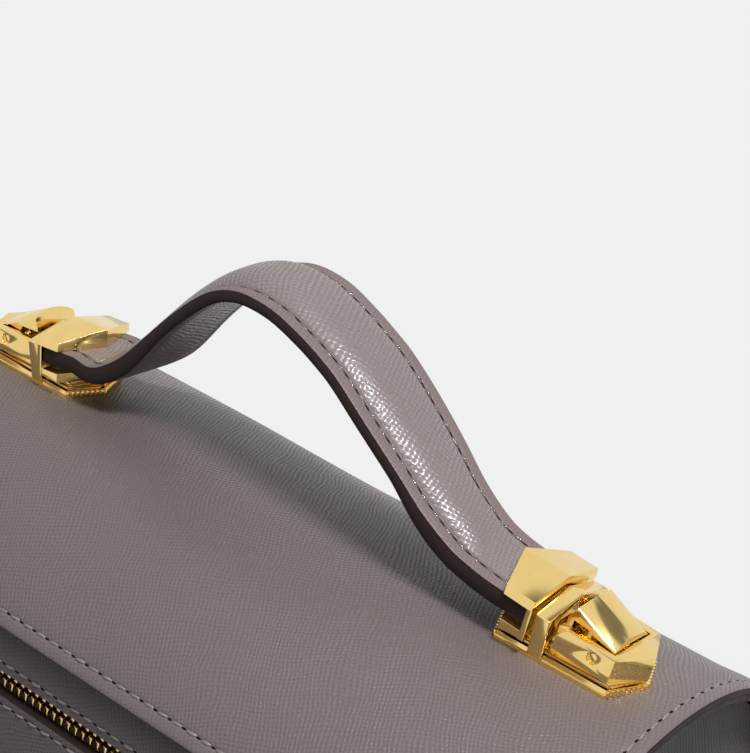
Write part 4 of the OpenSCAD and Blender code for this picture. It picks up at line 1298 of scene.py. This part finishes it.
def strap_frames():
    """Stations along the strap: share of its half length, place, outward direction and run."""
    shares = strap_line()
    points = [Vector((u * STRAP_HALF, 0.0, STRAP_FOOT_Z + v * STRAP_RISE)) for u, v in shares]
    frames = []
    run = 0.0
    for i, p in enumerate(points):
        before, after = points[max(0, i - 1)], points[min(len(points) - 1, i + 1)]
        along = (after - before).normalized()
        run += (p - before).length
        frames.append((abs(shares[i][0]), p, Vector((-along.z, 0.0, along.x)), run))
    return frames


def strap_half_w(u):
    """Half width of the strap at a share of its half length."""
    return mix(STRAP_MID_W, STRAP_END_W, eased(u, *STRAP_NARROWS)) / 2


def strap_thickness(u):
    """Thickness of the strap under its margins, fuller near the clamps."""
    return mix(STRAP_MID_T, STRAP_END_T, eased(u, *STRAP_THICKENS))


def strap_dome(u, y):
    """Height of the padded crown over the margins at y across the strap."""
    half = strap_half_w(u) - STRAP_MARGIN
    share = abs(y) / half
    if share >= 1:
        return 0.0
    return PAD_RISE * (1 - eased(u, *PAD_ENDS)) * (1 - share ** 3.5)


def strap_top(u, y):
    """Height of the top face over the margin's plane: rolled edge, groove and padded crown."""
    d = strap_half_w(u) - abs(y)
    lift = -STRAP_ROLL_DEPTH * max(0.0, 1 - d / 0.0008) ** 2
    lift -= STRAP_GROOVE_DEPTH * math.exp(-((d - STITCH_INSET - 0.0001) / GROOVE_W) ** 2)
    return lift + strap_dome(u, y)


def strap_lean(x, y, w):
    """The strap leans a little near its crown, so that its back edge stands higher."""
    share = smooth(1.3 - abs(x / STRAP_HALF + 0.25) / 0.35)
    return STRAP_LEAN * share * (y + w) / (2 * w)


def strap_ring(u):
    """Section of the strap right round, as (across, height, kind)."""
    w = strap_half_w(u)
    t = strap_thickness(u)
    pad = w - STRAP_MARGIN
    half = [w - v * MM for v in (0, 0.25, 0.6, 1.1, 1.8, 2.3, 2.6, 2.8, 3.0, 3.2, 3.4, 3.7)]
    half += [pad * v for v in (1.0, 0.985, 0.95, 0.9, 0.83, 0.74, 0.63, 0.5, 0.34, 0.17)]
    top = [-y for y in half] + [0.0] + list(reversed(half))
    edge = [(w + EDGE_BULGE * math.sin(math.pi * s), -mix(0.0003, t - 0.0003, s), PAINTED)
            for s in (0.0, 0.2, 0.4, 0.6, 0.8, 1.0)]
    lower = [(y, -t + 0.0002 * (1 - smooth((w - abs(y)) / 0.002)), MARGIN)
             for y in (w - 0.0002, w - 0.001, w - 0.003, w * 0.5, 0.0)]
    ring = [(y, strap_top(u, y), PADDED) for y in top] + edge + lower
    return ring + [(-y, h, kind) for y, h, kind in reversed(edge + lower[:-1])]


def strap_kind(this, after, w):
    """Kind of the strap's face between two points of its ring, for a ring of half width w."""
    inner, outer = sorted((abs(this[0]), abs(after[0])))
    if PAINTED in (this[2], after[2]):
        return PAINTED
    # Faces in the band of the stitched groove take the painted shade
    near, far = STRAP_SEAM_SHADE_BAND
    if w - far < inner and outer < w - near and this[2] == PADDED:
        return SEAM_SHADE
    return MARGIN if inner > w - STRAP_MARGIN - 0.0002 else PADDED


def build_strap():
    """The handle: padded crown, pressed margins, painted edges and under side in one piece."""
    frames = strap_frames()
    points, uvs = [], []
    for u, p, up, run in frames:
        ring = strap_ring(u)
        for y, h, _ in ring:
            lean = strap_lean(p.x, y, strap_half_w(u))
            points.append(p + Vector((0, y, 0)) + up * (h + lean))
            uvs.append((run, y))
    n = len(ring)
    end_w = strap_half_w(frames[-1][0])
    kinds_round = [strap_kind(ring[k], ring[(k + 1) % n], end_w) for k in range(n)]
    faces = [(a, b, b + n, a + n) for i in range(len(frames) - 1)
             for a, b in round_pairs(i * n, n)]
    faces.append(tuple(reversed(range(n))))
    faces.append(tuple((len(frames) - 1) * n + k for k in range(n)))
    kinds = kinds_round * (len(frames) - 1) + [PAINTED, PAINTED]
    made = new_piece("handle_strap", points, flipped(faces),
                     [STRAP_HIDE, EDGE_PAINT, STRAP_MARGIN_HIDE, STRAP_SEAM_SHADE],
                     kinds, uvs, 55)
    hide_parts("handle_upper", "handle_core", "handle_lower")
    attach(made, "flap")
    sew_strap(frames)


def sew_strap(frames):
    """Rows along both margins of the handle, which end before the clamps."""
    for side, word in ((-1, "front"), (1, "back")):
        path, ups = [], []
        for u, p, up, _ in frames:
            if u > STRAP_SEWN:
                continue
            w = strap_half_w(u)
            y = side * (w - STITCH_INSET)
            path.append(p + Vector((0, y, 0)) + up * (strap_top(u, y) + strap_lean(p.x, y, w)))
            ups.append(up)
        sew(f"handle_stitching_{word}", path, ups, "flap", slant=0.16 * side,
            thread=STRAP_THREAD)


# Metal

def finish_metal(node, body, material, bevel, angle=24, segments=2):
    """The solid's own shape with its faces joined, and with its edges rounded where they turn by
    more than the angle."""
    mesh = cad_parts[node].data.copy()
    bm = bmesh.new()
    bm.from_mesh(mesh)
    bmesh.ops.remove_doubles(bm, verts=bm.verts, dist=2e-6)
    bmesh.ops.dissolve_limit(bm, angle_limit=math.radians(1.0), verts=bm.verts, edges=bm.edges)
    bm.normal_update()
    bm.to_mesh(mesh)
    bm.free()
    mesh.materials.clear()
    mesh.materials.append(material)
    mesh.polygons.foreach_set("material_index", [0] * len(mesh.polygons))
    mesh.polygons.foreach_set("use_smooth", [True] * len(mesh.polygons))
    made = bpy.data.objects.new(node + "_finished", mesh)
    bpy.context.scene.collection.objects.link(made)
    rounded = made.modifiers.new("rounded_edges", "BEVEL")
    rounded.width = bevel
    rounded.segments = segments
    rounded.limit_method = "ANGLE"
    rounded.angle_limit = math.radians(angle)
    rounded.use_clamp_overlap = True
    rounded.harden_normals = True
    graph = bpy.context.evaluated_depsgraph_get()
    done = bpy.data.meshes.new_from_object(made.evaluated_get(graph))
    made.modifiers.clear()
    made.data = done
    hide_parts(node)
    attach(made, body)


def build_metal():
    """Both fittings, the snaps and the zip's metal, each with its own bevel."""
    for side in ("left", "right"):
        for node, bevel, angle in (("base_plate", 0.0002, 24), ("strap_clamp", 0.00032, 12),
                                   ("collar", 0.0003, 12), ("catch_box", 0.0003, 17),
                                   ("pivot_pin", 0.0002, 24)):
            finish_metal(f"{node}_{side}", "flap", GOLD, bevel, angle)
        finish_metal(f"catch_lever_{side}", f"catch_lever_{side}", GOLD, 0.0004)
        for node in ("fixing_screws", "backing_plate", "catch_spring"):
            finish_metal(f"{node}_{side}", "flap", STEEL, 0.00012)
    for node, body, bevel, angle, segments in (
            ("snap_studs", "flap", 0.0003, 24, 2), ("snap_sockets", "bag_body", 0.0002, 24, 2),
            ("zip_teeth", "bag_body", 0.00012, 40, 1), ("zip_stops", "bag_body", 0.00025, 24, 2),
            ("zip_slider", "zip_slider", 0.0002, 24, 2), ("zip_pull", "zip_pull", 0.0002, 24, 2)):
        finish_metal(node, body, ZIP_GOLD, bevel, angle, segments)


def build_zip_tapes():
    """Two woven tapes behind the slot, each with a corded edge beside the teeth."""
    tape_y = -INNER_HALF_D + CLEARANCE
    half = SLOT_HALF + TAPE_END
    near = TAPE_NEAR
    zs = [near + v * MM for v in (0, 0.2, 0.5, 0.9, 1.4)] + [0.004, 0.0052, TAPE_FAR]
    xs = even(-half, half, 60)
    faces = grid_faces(len(xs), len(zs))
    for side, word in ((-1, "lower"), (1, "upper")):

        def place(x, z):
            cord = TAPE_CORD * math.exp(-((z - near - 0.0005) / 0.0004) ** 2)
            return Vector((x, tape_y - cord, ZIP_Z + side * z)), Vector((0, -1, 0)), (x, z)

        points, normals, uvs = lay_out(xs, zs, place)
        made = solid_sheet(f"zip_tape_{word}", points, normals,
                           faces if side > 0 else flipped(faces), TAPE_T, [ZIP_CLOTH] * 3,
                           uvs, THIN_RIM_BULGE)
        if side < 0:
            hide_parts("zip_tapes")
        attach(made, "bag_body")


def build_zip_pouch():
    """Flat cloth pouch behind the zip."""
    front = -INNER_HALF_D + POUCH_GAP
    half, top, low = POUCH_HALF_W, POUCH_TOP, POUCH_TOP - POUCH_H
    xs = even(-half, half, 40)
    zs = even(low, top, 40)

    def place(x, z):
        d = min(half - abs(x), z - low, top - z)
        deep = POUCH_SWELL * smooth(d / 0.002) + soft_noise(x, z, *POUCH_UNEVEN)
        return Vector((x, front + deep, z)), Vector((0, -1, 0)), (x, z)

    points, normals, uvs = lay_out(xs, zs, place)
    made = solid_sheet("zip_pouch_cloth", points, normals, grid_faces(len(xs), len(zs)),
                       POUCH_CLOTH_T, [POUCH_CLOTH] * 3, uvs, THIN_RIM_BULGE)
    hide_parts("zip_pouch")
    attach(made, "bag_body")


# Studio

CAMERA_PLACE = (0.232092, -0.303392, 0.401790)
CAMERA_AZIMUTH = math.radians(35.4)
CAMERA_ELEVATION = math.radians(24.1)
CAMERA_ROLL = math.radians(9.9)
FOCAL_PIXELS = 2004.83
PHOTO_PIXELS = 750
SENSOR_W = 36.0
FOCAL_SHARE = FOCAL_PIXELS / PHOTO_PIXELS

BACKDROP = 0.871
PAPER_HALF = 3.0
PAPER_BACK = 1.2
PAPER_BEND = 0.5
PAPER_TOP = 1.9
SHADOW_NEAR = 0.16
SHADOW_FAR = 0.36
OVERHEAD = (0.0, 0.5, 0.87)
CEILING = (0.24, 0.50, 0.83)


def build_stage():
    """Paper floor that curves up into a wall behind, square to the camera."""
    profile = [(-PAPER_HALF, 0.0), (0.0, 0.0)]
    profile += [(PAPER_BACK - PAPER_BEND * (1 - math.sin(a)), PAPER_BEND * (1 - math.cos(a)))
                for a in [math.pi / 2 * i / 12 for i in range(13)]]
    profile += [(PAPER_BACK, PAPER_TOP)]
    turn = Matrix.Rotation(CAMERA_AZIMUTH, 3, "Z")
    points = [turn @ Vector((x, along, z)) for along, z in profile
              for x in (-PAPER_HALF, PAPER_HALF)]
    mesh = bpy.data.meshes.new("studio_floor")
    mesh.from_pydata([tuple(p) for p in points], [], grid_faces(len(profile), 2))
    mesh.polygons.foreach_set("use_smooth", [True] * len(mesh.polygons))
    mesh.materials.append(make_paper())
    made = bpy.data.objects.new("studio_floor", mesh)
    bpy.context.scene.collection.objects.link(made)


def grey(level):
    """A colour without a hue."""
    return (level, level, level)


def mirrored_ray(t):
    """1 for the rays by which metal and glass see the studio."""
    path = t.node("ShaderNodeLightPath").outputs
    return t.math("MAXIMUM", path["Is Glossy Ray"], path["Is Transmission Ray"])


def camera_ray(t):
    """1 for the rays that come straight from the camera."""
    return t.node("ShaderNodeLightPath").outputs["Is Camera Ray"]


def make_paper():
    """Pale paper that holds the part's shadow near it and fades to the plain backdrop. It lights
    the object less than it shows."""
    paper, t, skin = new_material("studio_paper")
    pale = t.colour(t.noise(t.object_point(), 30.0), grey(0.80), grey(0.82))
    skin.inputs["Roughness"].default_value = 0.9
    away = t.vector("LENGTH", t.object_point())
    mirrored = mirrored_ray(t)
    shown = t.math("MAXIMUM", camera_ray(t), mirrored)
    t.put(skin.inputs["Base Color"], t.colour(shown, grey(0.30), pale))
    seen = t.math("MULTIPLY", camera_ray(t), t.ramp(away, SHADOW_NEAR, SHADOW_FAR, 0.3, 1.0))
    reflected = t.math("MULTIPLY", mirrored, t.ramp(away, SHADOW_NEAR, SHADOW_FAR))
    glow = t.node("ShaderNodeEmission")
    t.put(glow.inputs["Color"], (*grey(BACKDROP), 1.0))
    both = t.node("ShaderNodeMixShader")
    t.put(both.inputs[0], t.math("MAXIMUM", seen, reflected))
    t.put(both.inputs[1], skin.outputs[0])
    t.put(both.inputs[2], glow.outputs[0])
    t.put(paper.node_tree.nodes["Material Output"].inputs["Surface"], both.outputs[0])
    return paper


def build_world():
    """Soft grey surround, brighter overhead. Mirrored rays see the backdrop, with a dark patch
    where the lamps hang."""
    world = bpy.data.worlds.new("studio")
    bpy.context.scene.world = world
    world.use_nodes = True
    t = Tree(world.node_tree)
    way = t.node("ShaderNodeTexCoord").outputs["Generated"]
    over = t.vector("DOT_PRODUCT", way, OVERHEAD)
    lit = t.colour(t.ramp(over, -0.5, 0.9), grey(0.05), grey(0.20))
    ceiling = t.vector("DOT_PRODUCT", way, CEILING)
    mirrored = t.colour(t.ramp(ceiling, 0.915, 0.968), grey(BACKDROP), grey(0.22))
    reply = t.colour(mirrored_ray(t), lit, mirrored)
    back = world.node_tree.nodes["Background"]
    t.put(back.inputs["Color"], t.colour(camera_ray(t), reply, grey(BACKDROP)))
    back.inputs["Strength"].default_value = 1.0


def area_light(name, place, width, depth, power):
    """Soft box at a place, turned to the middle of the flap."""
    data = bpy.data.lights.new(name, "AREA")
    data.shape = "RECTANGLE"
    data.size, data.size_y = width, depth
    data.energy = power
    made = bpy.data.objects.new(name, data)
    made.location = place
    away = Vector((0.0, 0.0, CROWN_Z)) - Vector(place)
    made.rotation_euler = away.to_track_quat("-Z", "Y").to_euler()
    made.visible_camera = False
    bpy.context.scene.collection.objects.link(made)


def build_lights():
    """A small bright box for the shine, and a long soft one beside it."""
    area_light("key_box", (0.28, -0.170, 0.74), 0.13, 0.06, 3.1)
    area_light("key_strip", (0.26, -0.174, 0.722), 0.50, 0.05, 0.95)


def build_camera():
    """Camera at the photograph's viewing angle."""
    data = bpy.data.cameras.new("camera")
    data.sensor_fit = "HORIZONTAL"
    data.sensor_width = SENSOR_W
    data.lens = SENSOR_W * FOCAL_SHARE
    data.clip_start, data.clip_end = 0.01, 20.0
    made = bpy.data.objects.new("camera", data)
    a, e, r = CAMERA_AZIMUTH, CAMERA_ELEVATION, CAMERA_ROLL
    right = Vector((math.cos(a), math.sin(a), 0.0))
    up = Vector((-math.sin(a) * math.sin(e), math.cos(a) * math.sin(e), math.cos(e)))
    turned_right = math.cos(r) * right + math.sin(r) * up
    turned_up = math.cos(r) * up - math.sin(r) * right
    back = turned_right.cross(turned_up)
    facing = Matrix((turned_right, turned_up, back)).transposed().to_4x4()
    made.matrix_world = Matrix.Translation(CAMERA_PLACE) @ facing
    bpy.context.scene.collection.objects.link(made)
    bpy.context.scene.camera = made


build_camera()
build_hide()
build_flap_lining()
build_front()
build_gusset(-1)
build_gusset(1)
build_base()
build_lining()
build_slip_pocket()
build_zip_tapes()
build_zip_pouch()
build_metal()
build_strap()
sew_flap()
sew_back()
sew_front()
build_stage()
build_world()
build_lights()
bpy.context.scene.view_settings.view_transform = "Standard"
